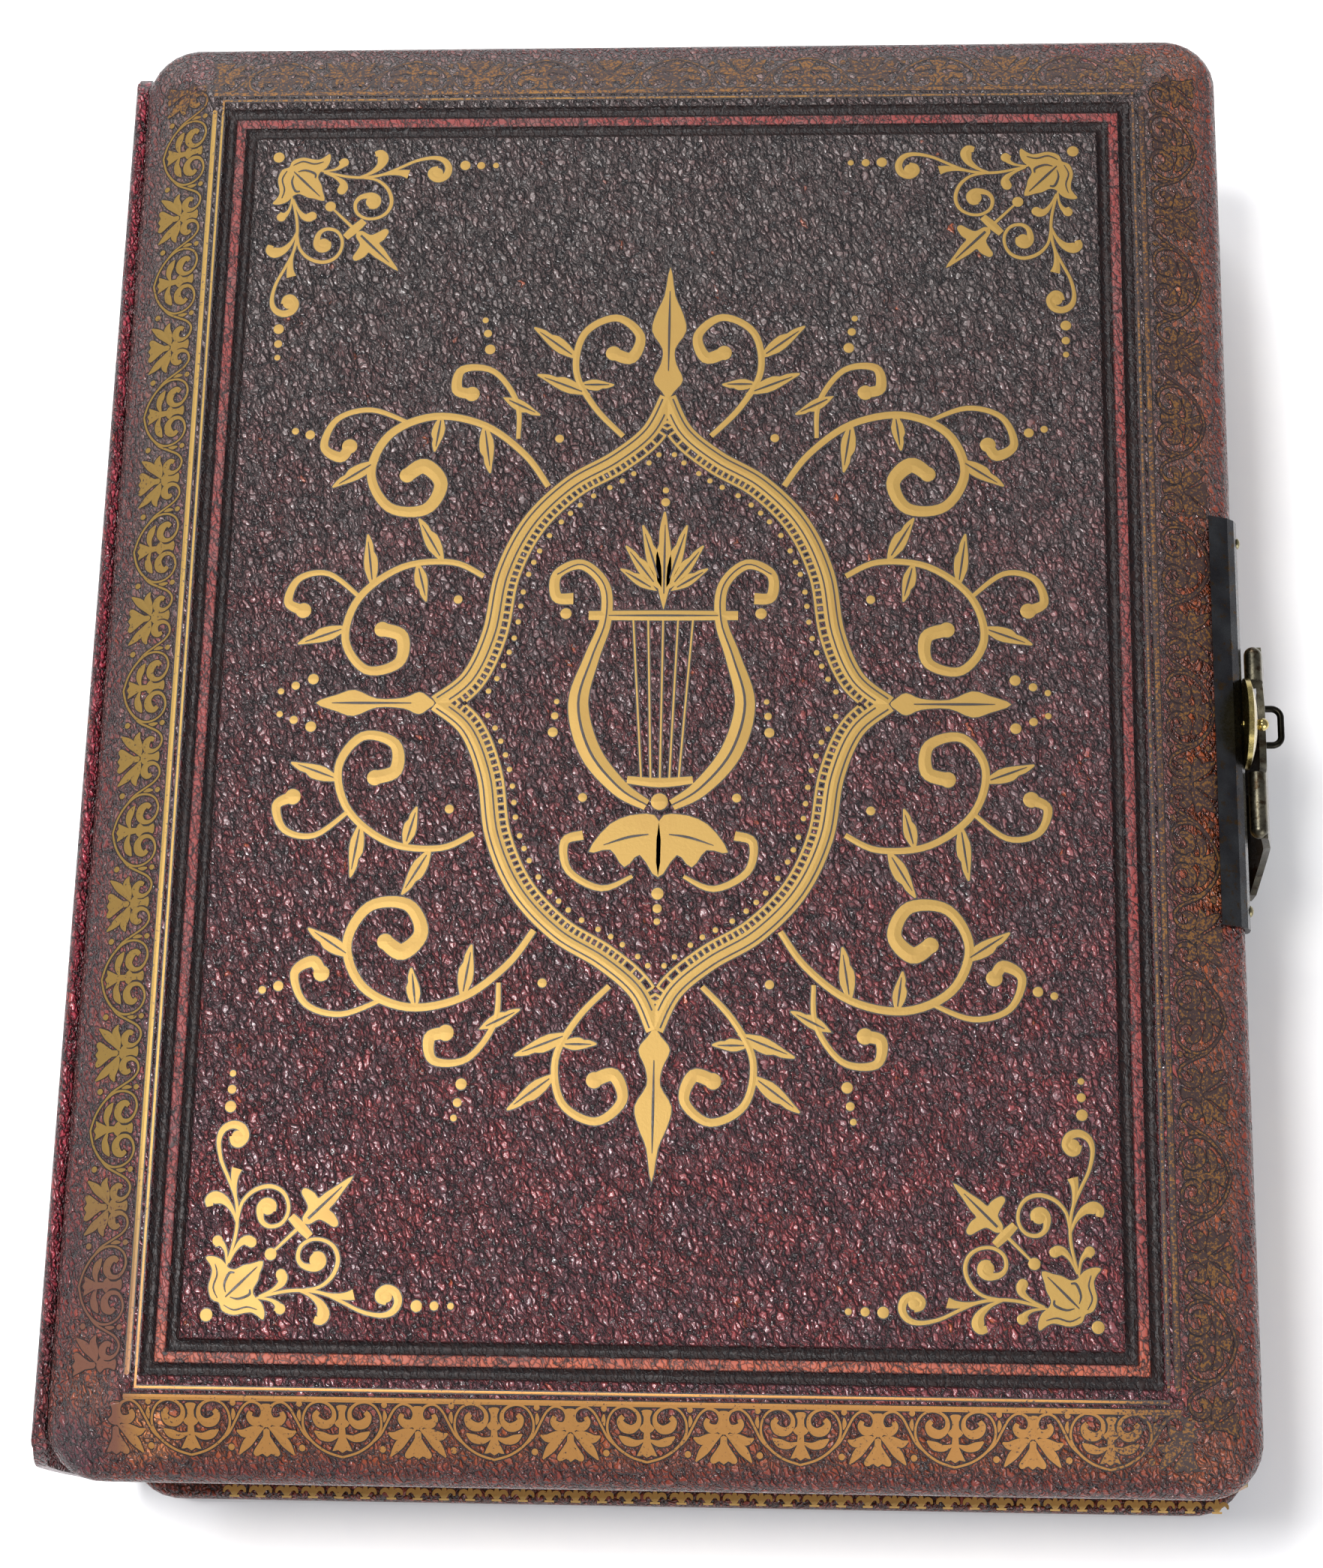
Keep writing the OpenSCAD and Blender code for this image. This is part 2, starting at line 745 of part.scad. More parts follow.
// Foot of a bracket: from v0 and u0, as wide and long as given, with its screw's hole
module foot(v0, u0, w, l, screw) {
    difference() {
        translate([v0, u0, bed_z]) cube([w, l, foot_t]);
        translate([foot_screws[screw][0], foot_screws[screw][1], bed_z - 1])
            cylinder(r = foot_screw_r, h = foot_t + 2);
    }
}

// Outline of a bracket round a bearing at the origin, down to the bedplate
module bracket_outline(r, v0, w) {
    hull() {
        circle(r = r);
        translate([v0, axis_h - 1]) square([w, 1]);
    }
}

module cylinder_cock_tail() {
    color("#b9974a")
        in_case() {
            difference() {
                slab(0, cylinder_tail_u, axis_z, cock_t) bracket_outline(2.9, -2.9, 10.9);
                rod(0, cylinder_tail_u - 1, axis_z, arbor_r + run_gap, cock_t + 2);
            }
            foot(-2.9, cylinder_tail_u - foot_l, 10.9, foot_l + lap, 0);
        }
}

// Head cock with the bearings of the cylinder and of the governor's arbor
module cylinder_cock_head() {
    color("#b9974a")
        in_case() {
            difference() {
                slab(0, head_cock_u, axis_z, cock_t)
                    hull() {
                        circle(r = 3.4);
                        translate([governor_v, 0]) circle(r = 2.4);
                        translate([governor_v - 1, axis_h - 1]) square([7 - governor_v, 1]);
                    }
                rod(0, head_cock_u - 1, axis_z, arbor_r + run_gap, cock_t + 2);
                rod(governor_v, head_cock_u - 1, axis_z, governor_arbor_r + run_gap, cock_t + 2);
            }
            foot(-2, head_cock_u + cock_t - lap, 8, foot_l + lap, 1);
        }
}

module cylinder_shell() {
    wall = 0.7;
    sunk = 1.5;
    rim = cylinder_r - wall;
    color("#c8a951")
        in_case()
            translate([0, cylinder_u0, axis_z])
                rotate([-90, 0, 0])
                    rotate_extrude($fn = 64)
                        polygon([[arbor_r, sunk], [rim, sunk], [rim, 0], [cylinder_r, 0],
                            [cylinder_r, cylinder_l], [rim, cylinder_l],
                            [rim, cylinder_l - sunk], [arbor_r, cylinder_l - sunk]]);
}

module cylinder_arbor() {
    color("#8f8f93")
        in_case()
            rod(0, cylinder_tail_u - 0.4, axis_z, arbor_r,
                head_cock_u + cock_t - cylinder_tail_u + 0.8);
}

module cylinder_pinion() {
    color("#8f8f93")
        in_case()
            difference() {
                slab(0, pinion_u, axis_z, pinion_t)
                    polygon(gear_points(pinion_teeth, drive_m, 180 + 180 / pinion_teeth));
                rod(0, pinion_u - 1, axis_z, arbor_r, pinion_t + 2);
            }
}

// Crossed-out wheel on the cylinder's arbor that drives the governor
module cylinder_wheel() {
    color("#c8a951")
        in_case()
            difference() {
                slab(0, wheel_u, axis_z, wheel_t)
                    polygon(gear_points(wheel_teeth, governor_m, 180));
                rod(0, wheel_u - 1, axis_z, arbor_r, wheel_t + 2);
                for (a = [0 : 90 : 270])
                    slab(0, wheel_u - 1, axis_z, wheel_t + 2)
                        rotate(a + 45)
                            translate([wheel_r * 0.56, 0]) circle(r = wheel_r * 0.24);
            }
}

// Tuned steel comb: bass teeth are longer, and carry lead weights under their tips
module comb() {
    color("#a3a7ad")
        in_case()
            difference() {
                union() {
                    translate([comb_v0, cylinder_u0 + 1, comb_z])
                        cube([comb_v1 - comb_v0, comb_l, comb_t]);
                    for (i = [0 : lead_count - 1])
                        translate([comb_v0 + 1, cylinder_u0 + 1 + i * comb_pitch + comb_slot / 2,
                                comb_z - lead_t * (1 - i / lead_count / 2)])
                            cube([lead_l, comb_pitch - comb_slot,
                                lead_t * (1 - i / lead_count / 2) + lap]);
                }
                for (i = [1 : tooth_count - 1])
                    let (root = comb_root_bass
                        + (comb_root_treble - comb_root_bass) * i / tooth_count)
                    translate([comb_v0 - 1, cylinder_u0 + 1 + i * comb_pitch - comb_slot / 2,
                            comb_z - lead_t - 1])
                        cube([root - comb_v0 + 1, comb_slot, comb_t + lead_t + 2]);
                comb_screw_holes();
            }
}

module comb_screw_holes() {
    for (p = comb_screw_places)
        translate([p[0], p[1], rail_z - 1]) cylinder(r = comb_screw_r, h = case_h);
}

module comb_base() {
    color("#b9974a")
        in_case()
            difference() {
                translate([comb_base_v0, cylinder_u0 + 1, bed_z])
                    cube([comb_v1 - comb_base_v0, comb_l, comb_z - bed_z]);
                comb_screw_holes();
            }
}

module comb_screws() {
    color("#5b6fa8")
        in_case()
            for (p = comb_screw_places)
                translate([p[0], p[1], 0])
                    difference() {
                        union() {
                            translate([0, 0, rail_z])
                                cylinder(r = comb_screw_r, h = comb_z + comb_t - rail_z);
                            translate([0, 0, comb_z + comb_t])
                                cylinder(r = comb_screw_head, h = comb_screw_t);
                        }
                        screw_slot(comb_screw_head, comb_z + comb_t + comb_screw_t);
                    }
}

// Going barrel: drum and great wheel in one, open at its tail for the spring
module barrel_drum() {
    color("#c8a951")
        in_case()
            difference() {
                union() {
                    rod(barrel_v, drum_u0, axis_z, drum_r, drum_l + lap);
                    slab(barrel_v, drive_u, axis_z, drive_t)
                        polygon(gear_points(drive_teeth, drive_m, 0));
                }
                rod(barrel_v, drum_u0 - 1, axis_z, drum_r - drum_wall, drum_l + 1);
                rod(barrel_v, drive_u - 1, axis_z, winder_r + run_gap, drive_t + 2);
            }
}

module barrel_cap() {
    color("#c8a951")
        in_case()
            difference() {
                rod(barrel_v, drum_u0, axis_z, drum_r - drum_wall, cap_t);
                rod(barrel_v, drum_u0 - 1, axis_z, winder_r + run_gap, cap_t + 2);
            }
}

// Winding arbor, squared at its tail for the key
module barrel_arbor() {
    color("#8f8f93")
        in_case() {
            rod(barrel_v, winder_u0 + winder_square_l, axis_z, winder_r,
                barrel_head_u + barrel_head_t - winder_u0 - winder_square_l + 0.4);
            translate([barrel_v - winder_square / 2, winder_u0, axis_z - winder_square / 2])
                cube([winder_square, winder_square_l + lap, winder_square]);
        }
}

module mainspring() {
    color("#6f747c")
        in_case()
            slab(barrel_v, drum_u0 + cap_t + 0.4, axis_z, drum_l - cap_t - 0.8)
                polygon(spiral_points(winder_r + 0.5, drum_r - drum_wall - spring_t - 0.1, 7,
                    spring_t));
}

// Tail cock of the barrel, which also carries the click and its spring
module barrel_cock_tail() {
    color("#b9974a")
        in_case() {
            difference() {
                slab(barrel_v, barrel_tail_u, axis_z, cock_t)
                    hull() {
                        circle(r = 4);
                        translate([click_v - barrel_v, axis_z - click_z]) circle(r = 2.2);
                        translate([-6, axis_h - 1]) square([19.5, 1]);
                    }
                rod(barrel_v, barrel_tail_u - 1, axis_z, winder_r + run_gap, cock_t + 2);
                rod(click_v, barrel_tail_u - 1, click_z, click_stud_r, cock_t + 2);
            }
            foot(barrel_v - 6, barrel_tail_u - foot_l, 12, foot_l + lap, 2);
        }
}

module barrel_cock_head() {
    color("#b9974a")
        in_case() {
            difference() {
                slab(barrel_v, barrel_head_u, axis_z, barrel_head_t) bracket_outline(3.4, -6, 9.4);
                rod(barrel_v, barrel_head_u - 1, axis_z, winder_r + run_gap, barrel_head_t + 2);
            }
            foot(barrel_v - 6, barrel_head_u + barrel_head_t - lap, 9.4, foot_l + lap, 3);
        }
}

module ratchet_wheel() {
    color("#8f8f93")
        in_case()
            difference() {
                slab(barrel_v, ratchet_u, axis_z, ratchet_t) polygon(ratchet_points());
                rod(barrel_v, ratchet_u - 1, axis_z, winder_r, ratchet_t + 2);
            }
}

// Pawl that keeps the ratchet wheel from turning back, shown just clear of its teeth
module click() {
    color("#8f8f93")
        in_case()
            difference() {
                slab(click_v, click_u, click_z, lever_t)
                    hull() {
                        circle(r = click_r);
                        translate(click_tip) circle(r = click_tip_r);
                    }
                rod(click_v, click_u - 1, click_z, click_stud_r + run_gap, lever_t + 2);
            }
}

module click_stud() {
    color("#5b6fa8")
        in_case() {
            rod(click_v, click_u - 0.1, click_z, click_stud_r, barrel_tail_u + cock_t - click_u + 0.1);
            rod(click_v, click_u - 0.1 - click_stud_t, click_z, click_stud_head, click_stud_t);
        }
}

module click_spring() {
    a = [11.8, 7];
    b = [7.6, -3.2];
    t = 0.4;
    color("#6f747c")
        in_case() {
            slab(barrel_v, click_u, axis_z, lever_t)
                polygon(concat(bowed(a, b, 1.8, 12),
                    reversed(bowed(a + [t, 0], b + [t, 0], 1.8, 12))));
            slab(barrel_v, click_u, axis_z, barrel_tail_u - click_u)
                translate([a[0] - 1.2, a[1]]) square([2.4, 1.8]);
        }
}

// Governor arbor with its pinion cut from the solid
module governor_arbor() {
    color("#8f8f93")
        in_case() {
            rod(governor_v, post_u - 0.2, axis_z, governor_arbor_r,
                worm_wheel_u + worm_wheel_t - post_u + 0.6);
            slab(governor_v, wheel_u - 0.5, axis_z, wheel_t + 1)
                polygon(gear_points(governor_teeth, governor_m, 180 / governor_teeth));
        }
}

module governor_wheel() {
    color("#c8a951")
        in_case()
            difference() {
                slab(governor_v, worm_wheel_u, axis_z, worm_wheel_t)
                    polygon(gear_points(worm_teeth, worm_m, 180));
                rod(governor_v, worm_wheel_u - 1, axis_z, governor_arbor_r, worm_wheel_t + 2);
            }
}

module governor_post() {
    color("#b9974a")
        in_case() {
            difference() {
                slab(governor_v, post_u, axis_z, post_t) bracket_outline(2, -5.5, 7.5);
                rod(governor_v, post_u - 1, axis_z, governor_arbor_r + run_gap, post_t + 2);
            }
            foot(governor_v - 5.5, post_u - foot_l, 7.5, foot_l + lap, 4);
        }
}

// Bridge over the fly: a pillar on the bedplate with an arm for the top pivot
module governor_cock() {
    color("#b9974a")
        in_case() {
            difference() {
                union() {
                    translate([worm_v - 3.3, bridge_u, bed_z])
                        cube([6.6, 3, bridge_z + bridge_t - bed_z]);
                    translate([worm_v - 2, worm_u, bridge_z])
                        cube([4, bridge_u - worm_u + lap, bridge_t]);
                    translate([worm_v, worm_u, bridge_z]) cylinder(r = 2, h = bridge_t);
                }
                translate([worm_v, worm_u, bridge_z - 1])
                    cylinder(r = pivot_r + run_gap, h = bridge_t + 2);
            }
            foot(worm_v - 6.5, bridge_u, 3.2 + lap, 3, 5);
        }
}

// Fly and its worm on one upright arbor
module fly() {
    color("#c8a951")
        in_case()
            translate([worm_v, worm_u, 0]) {
                translate([0, 0, bed_z - 0.8])
                    cylinder(r = pivot_r, h = bridge_z + bridge_t - bed_z + 0.6);
                translate([0, 0, bed_z + 0.2]) cylinder(r = worm_r, h = fly_z - bed_z - 0.2 + lap);
                translate([0, 0, fly_z]) cylinder(r = worm_r + 0.3, h = fly_h);
                translate([-fly_r, -fly_blade_t / 2, fly_z]) cube([2 * fly_r, fly_blade_t, fly_h]);
            }
}

// Flat lever from the fore-edge to the fly, with an upright finger at its inner end
module stop_lever() {
    color("#8f8f93")
        in_case()
            difference() {
                union() {
                    translate([stop_tip_v - 1, stop_u - stop_w / 2, stop_z])
                        cube([stop_end_v - stop_tip_v + 1, stop_w, lever_t]);
                    translate([stop_pivot_v, stop_u, stop_z]) cylinder(r = stop_boss_r, h = lever_t);
                    translate([stop_tip_v, stop_u, stop_z])
                        cylinder(r = finger_r, h = fly_z + fly_h - stop_z);
                }
                translate([stop_pivot_v, stop_u, stop_z - 1])
                    cylinder(r = stop_stud_r + run_gap, h = lever_t + 2);
            }
}

module stop_lever_stud() {
    color("#5b6fa8")
        in_case()
            translate([stop_pivot_v, stop_u, 0]) {
                translate([0, 0, rail_z])
                    cylinder(r = stop_stud_r, h = stop_z + lever_t + 0.1 - rail_z);
                translate([0, 0, bed_z]) cylinder(r = stop_stud_head, h = stop_z - 0.1 - bed_z);
                translate([0, 0, stop_z + lever_t + 0.1])
                    cylinder(r = stop_stud_head, h = stop_stud_t);
            }
}

module stop_knob() {
    color("#c8a951")
        in_case()
            translate([stop_end_v, stop_u, stop_z + lever_t / 2])
                rotate([0, 90, 0]) cylinder(r = knob_r, h = knob_t);
}

// Bore along X through the middle of the front plate, for the stud
module stud_hole() {
    translate([edge_x - stud_root, clasp_y, rim_face_h])
        rotate([0, 90, 0]) cylinder(r = stud_r, h = stud_root + 4);
}

module clasp_front_plate() {
    color("#3d3f46")
        at_front()
            difference() {
                rim_plate();
                nail_holes();
                stud_hole();
            }
}

module clasp_front_pins() {
    color("#c8a951") at_front() nails();
}

// Stud riveted through the front plate, with a ball head outside the turn-button
module clasp_stud() {
    color("#c8a951")
        at_front()
            translate([edge_x - stud_root, clasp_y, rim_face_h]) {
                rotate([0, 90, 0]) cylinder(r = stud_r, h = ball_x - edge_x + stud_root);
                translate([ball_x - edge_x + stud_root, 0, 0]) sphere(r = ball_r);
            }
}

// Lens-shaped turn-button
module clasp_button() {
    hub_r = 2.4;
    steps = 10;
    color("#d8c268")
        at_front()
            translate([button_x, clasp_y, rim_face_h])
                rotate([0, 90, 0])
                    rotate_extrude($fn = 64)
                        polygon(concat([[stud_r + run_gap, 0], [button_r, 0]],
                            [for (i = [0 : steps])
                                let (r = button_r - (button_r - hub_r) * i / steps)
                                [r, button_edge_t + (button_t - button_edge_t)
                                    * (1 - pow((r - hub_r) / (button_r - hub_r), 2))]],
                            [[stud_r + run_gap, button_t]]));
}

// X of the arm's outer face at a height above the hinge
function arm_face(h) =
    let (s = h / (arm_head[1] - arm_foot[1]))
    arm_foot[0] + (arm_head[0] - arm_foot[0]) * s + 4 * arm_bow * s * (1 - s) + arm_t / 2;

// Y at which a knuckle starts, counted from the tail
function knuckle_y(i) = arm_y - arm_w / 2 + i * knuckle_l;

// Knuckles of the hinge from the first one given, every second one
module knuckles(first) {
    for (i = [first : 2 : knuckle_count - 1])
        translate([hinge_x, knuckle_y(i) + rest_gap / 2, hinge_z])
            rotate([-90, 0, 0]) cylinder(r = knuckle_r, h = knuckle_l - rest_gap);
}

// Two holes for the thumb loop's legs
module loop_holes() {
    for (side = [-1, 1])
        translate([hinge_x - 10, loop_y + side * (loop_l / 2 + loop_r), hinge_z + loop_h])
            rotate([0, 90, 0]) cylinder(r = wire_r, h = 30);
}

// Bowed and waisted arm with a bead along its top and a notch round the turn-button
module clasp_arm() {
    color("#7a6f45")
        difference() {
            union() {
                translate([0, arm_y + arm_w / 2, 0])
                    rotate([90, 0, 0])
                        linear_extrude(height = arm_w)
                            polygon(concat(
                                bowed(arm_foot - [arm_t / 2, 0], arm_head - [arm_t / 2, 0],
                                    -arm_bow, 20),
                                reversed(bowed(arm_foot + [arm_t / 2, 0],
                                    arm_head + [arm_t / 2, 0], -arm_bow, 20))));
                rod(bead_x, arm_y - arm_w / 2 + bead_r, bead_z, bead_r, arm_w - 2 * bead_r);
                for (side = [-1, 1])
                    translate([bead_x, arm_y + side * (arm_w / 2 - bead_r), bead_z])
                        sphere(r = bead_r);
                knuckles(1);
            }
            rod(hinge_x, arm_y - arm_w, hinge_z, hinge_pin_r + run_gap, 2 * arm_w);
            for (i = [0 : 2 : knuckle_count - 1])
                translate([hinge_x - 5, knuckle_y(i) - rest_gap / 2, hinge_z - 5])
                    cube([10, knuckle_l + rest_gap, 5 + knuckle_r + rest_gap]);
            translate([plate_face - lean - 5, clasp_y, cover_z + rim_face_h])
                rotate([0, 90, 0]) cylinder(r = button_r + 0.45, h = 20);
            for (side = [-1, 1])
                translate([hinge_x - 15, arm_y + side * (arm_w / 2 + waist_r - waist_d),
                        (hinge_z + bead_z) / 2])
                    rotate([0, 90, 0]) cylinder(r = waist_r, h = 30, $fn = 160);
            loop_holes();
        }
}

// Thumb loop of bent wire, with its legs through the arm
module clasp_loop() {
    face = arm_face(loop_h);
    reach = 1.2;
    color("#2b2723")
        translate([face, loop_y, hinge_z + loop_h]) {
            for (side = [-1, 1]) {
                translate([-arm_t - 0.3, side * (loop_l / 2 + loop_r), 0])
                    rotate([0, 90, 0]) cylinder(r = wire_r, h = arm_t + 0.3 + reach);
                translate([reach, side * loop_l / 2, 0])
                    rotate([0, 0, side > 0 ? 0 : -90])
                        rotate_extrude(angle = 90) translate([loop_r, 0]) circle(r = wire_r);
            }
            translate([reach + loop_r, -loop_l / 2, 0])
                rotate([-90, 0, 0]) cylinder(r = wire_r, h = loop_l);
        }
}

module clasp_hinge_pin() {
    head_t = 0.8;
    color("#c8a951") {
        rod(hinge_x, arm_y - arm_w / 2, hinge_z, hinge_pin_r, arm_w);
        for (y = [arm_y - arm_w / 2 + rest_gap / 2 - head_t, arm_y + arm_w / 2 - rest_gap / 2])
            rod(hinge_x, y, hinge_z, hinge_pin_r + 0.5, head_t);
    }
}

module clasp_back_plate() {
    color("#3d3f46")
        difference() {
            union() {
                at_back()
                    difference() {
                        rim_plate();
                        nail_holes();
                    }
                knuckles(0);
                for (i = [0 : 2 : knuckle_count - 1])
                    translate([plate_face - lap, knuckle_y(i) + rest_gap / 2, hinge_z - 0.7])
                        cube([hinge_x - plate_face + lap, knuckle_l - rest_gap, 1.4]);
            }
            rod(hinge_x, arm_y - arm_w, hinge_z, hinge_pin_r, 2 * arm_w);
        }
}

module clasp_back_pins() {
    color("#c8a951") at_back() nails();
}

front_cover();
front_endpaper();
spine_shell();
spine_liner();
leaf_block();
back_cover();
case_floor();
rail_head();
rail_tail();
rail_fore();
rail_spine();
partition_long();
partition_cross();
case_lid();
keyhole_escutcheon();
bedplate();
bedplate_screws();
bracket_screws();
cylinder_cock_tail();
cylinder_cock_head();
cylinder_shell();
cylinder_arbor();
cylinder_pinion();
cylinder_wheel();
comb();
comb_base();
comb_screws();
barrel_drum();
barrel_cap();
barrel_arbor();
mainspring();
barrel_cock_tail();
barrel_cock_head();
ratchet_wheel();
click();
click_stud();
click_spring();
governor_arbor();
governor_wheel();
governor_post();
governor_cock();
fly();
stop_lever();
stop_lever_stud();
stop_knob();
clasp_front_plate();
clasp_front_pins();
clasp_stud();
clasp_button();
clasp_loop();
clasp_arm();
clasp_hinge_pin();
clasp_back_plate();
clasp_back_pins();
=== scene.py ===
"""The looks of an antique musical photograph album.

A leather case with padded, gilt-tooled covers holds card leaves and, below them, a shallow wooden
case with a comb-and-cylinder movement. Sizes are millimetres in the album's own frame: X towards the
fore-edge, Y towards the head, Z up, with the back cover lying on the floor.
"""

from __future__ import annotations

import logging
import math
from collections.abc import Callable, Iterable, Sequence
from dataclasses import dataclass, field
from enum import Enum

import bmesh
import bpy
from mathutils import Matrix, Vector, noise

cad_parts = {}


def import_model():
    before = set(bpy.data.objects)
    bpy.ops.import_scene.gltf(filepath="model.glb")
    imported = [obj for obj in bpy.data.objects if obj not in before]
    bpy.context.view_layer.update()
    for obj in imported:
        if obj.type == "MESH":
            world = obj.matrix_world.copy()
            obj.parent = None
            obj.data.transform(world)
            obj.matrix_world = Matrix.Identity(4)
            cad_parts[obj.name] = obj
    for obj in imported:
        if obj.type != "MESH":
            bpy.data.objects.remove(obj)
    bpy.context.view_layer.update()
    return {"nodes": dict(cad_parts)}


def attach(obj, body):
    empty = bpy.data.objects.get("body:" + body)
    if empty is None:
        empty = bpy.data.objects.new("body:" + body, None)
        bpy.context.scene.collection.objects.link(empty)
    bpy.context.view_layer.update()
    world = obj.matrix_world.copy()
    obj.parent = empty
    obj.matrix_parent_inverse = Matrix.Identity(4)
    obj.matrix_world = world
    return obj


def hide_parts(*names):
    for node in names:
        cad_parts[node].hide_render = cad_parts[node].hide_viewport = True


LOG = logging.getLogger("album")
MM = 0.001

Point = tuple[float, float]
Stroke = list[tuple[float, float, float]]


def srgb(colour: str) -> tuple[float, float, float, float]:
    """Turns an sRGB hex colour to the linear colour that a shader socket takes.

    Args:
        colour: six hex digits after a hash sign.

    Returns:
        Linear red, green and blue, and an alpha of one.
    """
    parts = [int(colour[i : i + 2], 16) / 255 for i in (1, 3, 5)]
    linear = [c / 12.92 if c <= 0.04045 else ((c + 0.055) / 1.055) ** 2.4 for c in parts]
    return (linear[0], linear[1], linear[2], 1.0)


def add_node(
    tree: bpy.types.NodeTree,
    kind: str,
    inputs: dict[str | int, object] | None = None,
    stops: Sequence[tuple[float, str]] = (),
    **settings: object,
) -> bpy.types.Node:
    """Adds one node with its settings, values and links.

    Args:
        tree: the material's or the world's node tree.
        kind: Blender's name of the node's class, after its ShaderNode.
        inputs: a value, a socket to link, or a node whose first output is linked, for each input by
            its name or its place.
        stops: place and sRGB hex colour of each stop of a colour ramp.
        settings: the node's own properties.

    Returns:
        The node.
    """
    node = tree.nodes.new(f"ShaderNode{kind}")
    for name, value in settings.items():
        setattr(node, name, value)
    for place, value in (inputs or {}).items():
        if isinstance(value, bpy.types.Node):
            value = value.outputs[0]
        if isinstance(value, bpy.types.NodeSocket):
            tree.links.new(value, node.inputs[place])
        else:
            node.inputs[place].default_value = value
    if stops:
        ramp = node.color_ramp
        while len(ramp.elements) < len(stops):
            ramp.elements.new(1.0)
        for element, (at, colour) in zip(ramp.elements, stops):
            element.position = at
            element.color = srgb(colour)
    return node


def new_material(name: str) -> tuple[bpy.types.Material, bpy.types.NodeTree, bpy.types.NodeSocket]:
    """Starts a material.

    Args:
        name: the finish's own name.

    Returns:
        The material, its emptied node tree, and the object's coordinates in millimetres.
    """
    material = bpy.data.materials.new(name)
    material.use_nodes = True
    tree = material.node_tree
    tree.nodes.clear()
    place = add_node(tree, "TexCoord")
    scaled = add_node(tree, "VectorMath", {0: place.outputs["Object"], "Scale": 1 / MM}, operation="SCALE")
    return material, tree, scaled.outputs["Vector"]


def close_material(tree: bpy.types.NodeTree, shader: bpy.types.Node) -> None:
    """Links the shader to the material's output."""
    add_node(tree, "OutputMaterial", {"Surface": shader})


def dress(obj: bpy.types.Object, material: bpy.types.Material) -> bpy.types.Object:
    """Gives every slot of a piece one material.

    Args:
        obj: the piece.
        material: its finish.

    Returns:
        The piece.
    """
    if not obj.data.materials:
        obj.data.materials.append(material)
    for slot in obj.material_slots:
        slot.material = material
    return obj


@dataclass(frozen=True)
class Scuff:
    """A place where the dye has rubbed off: its centre and radius in millimetres, and its colour."""

    x: float
    y: float
    z: float
    radius: float
    colour: str
    share: float = 1.0


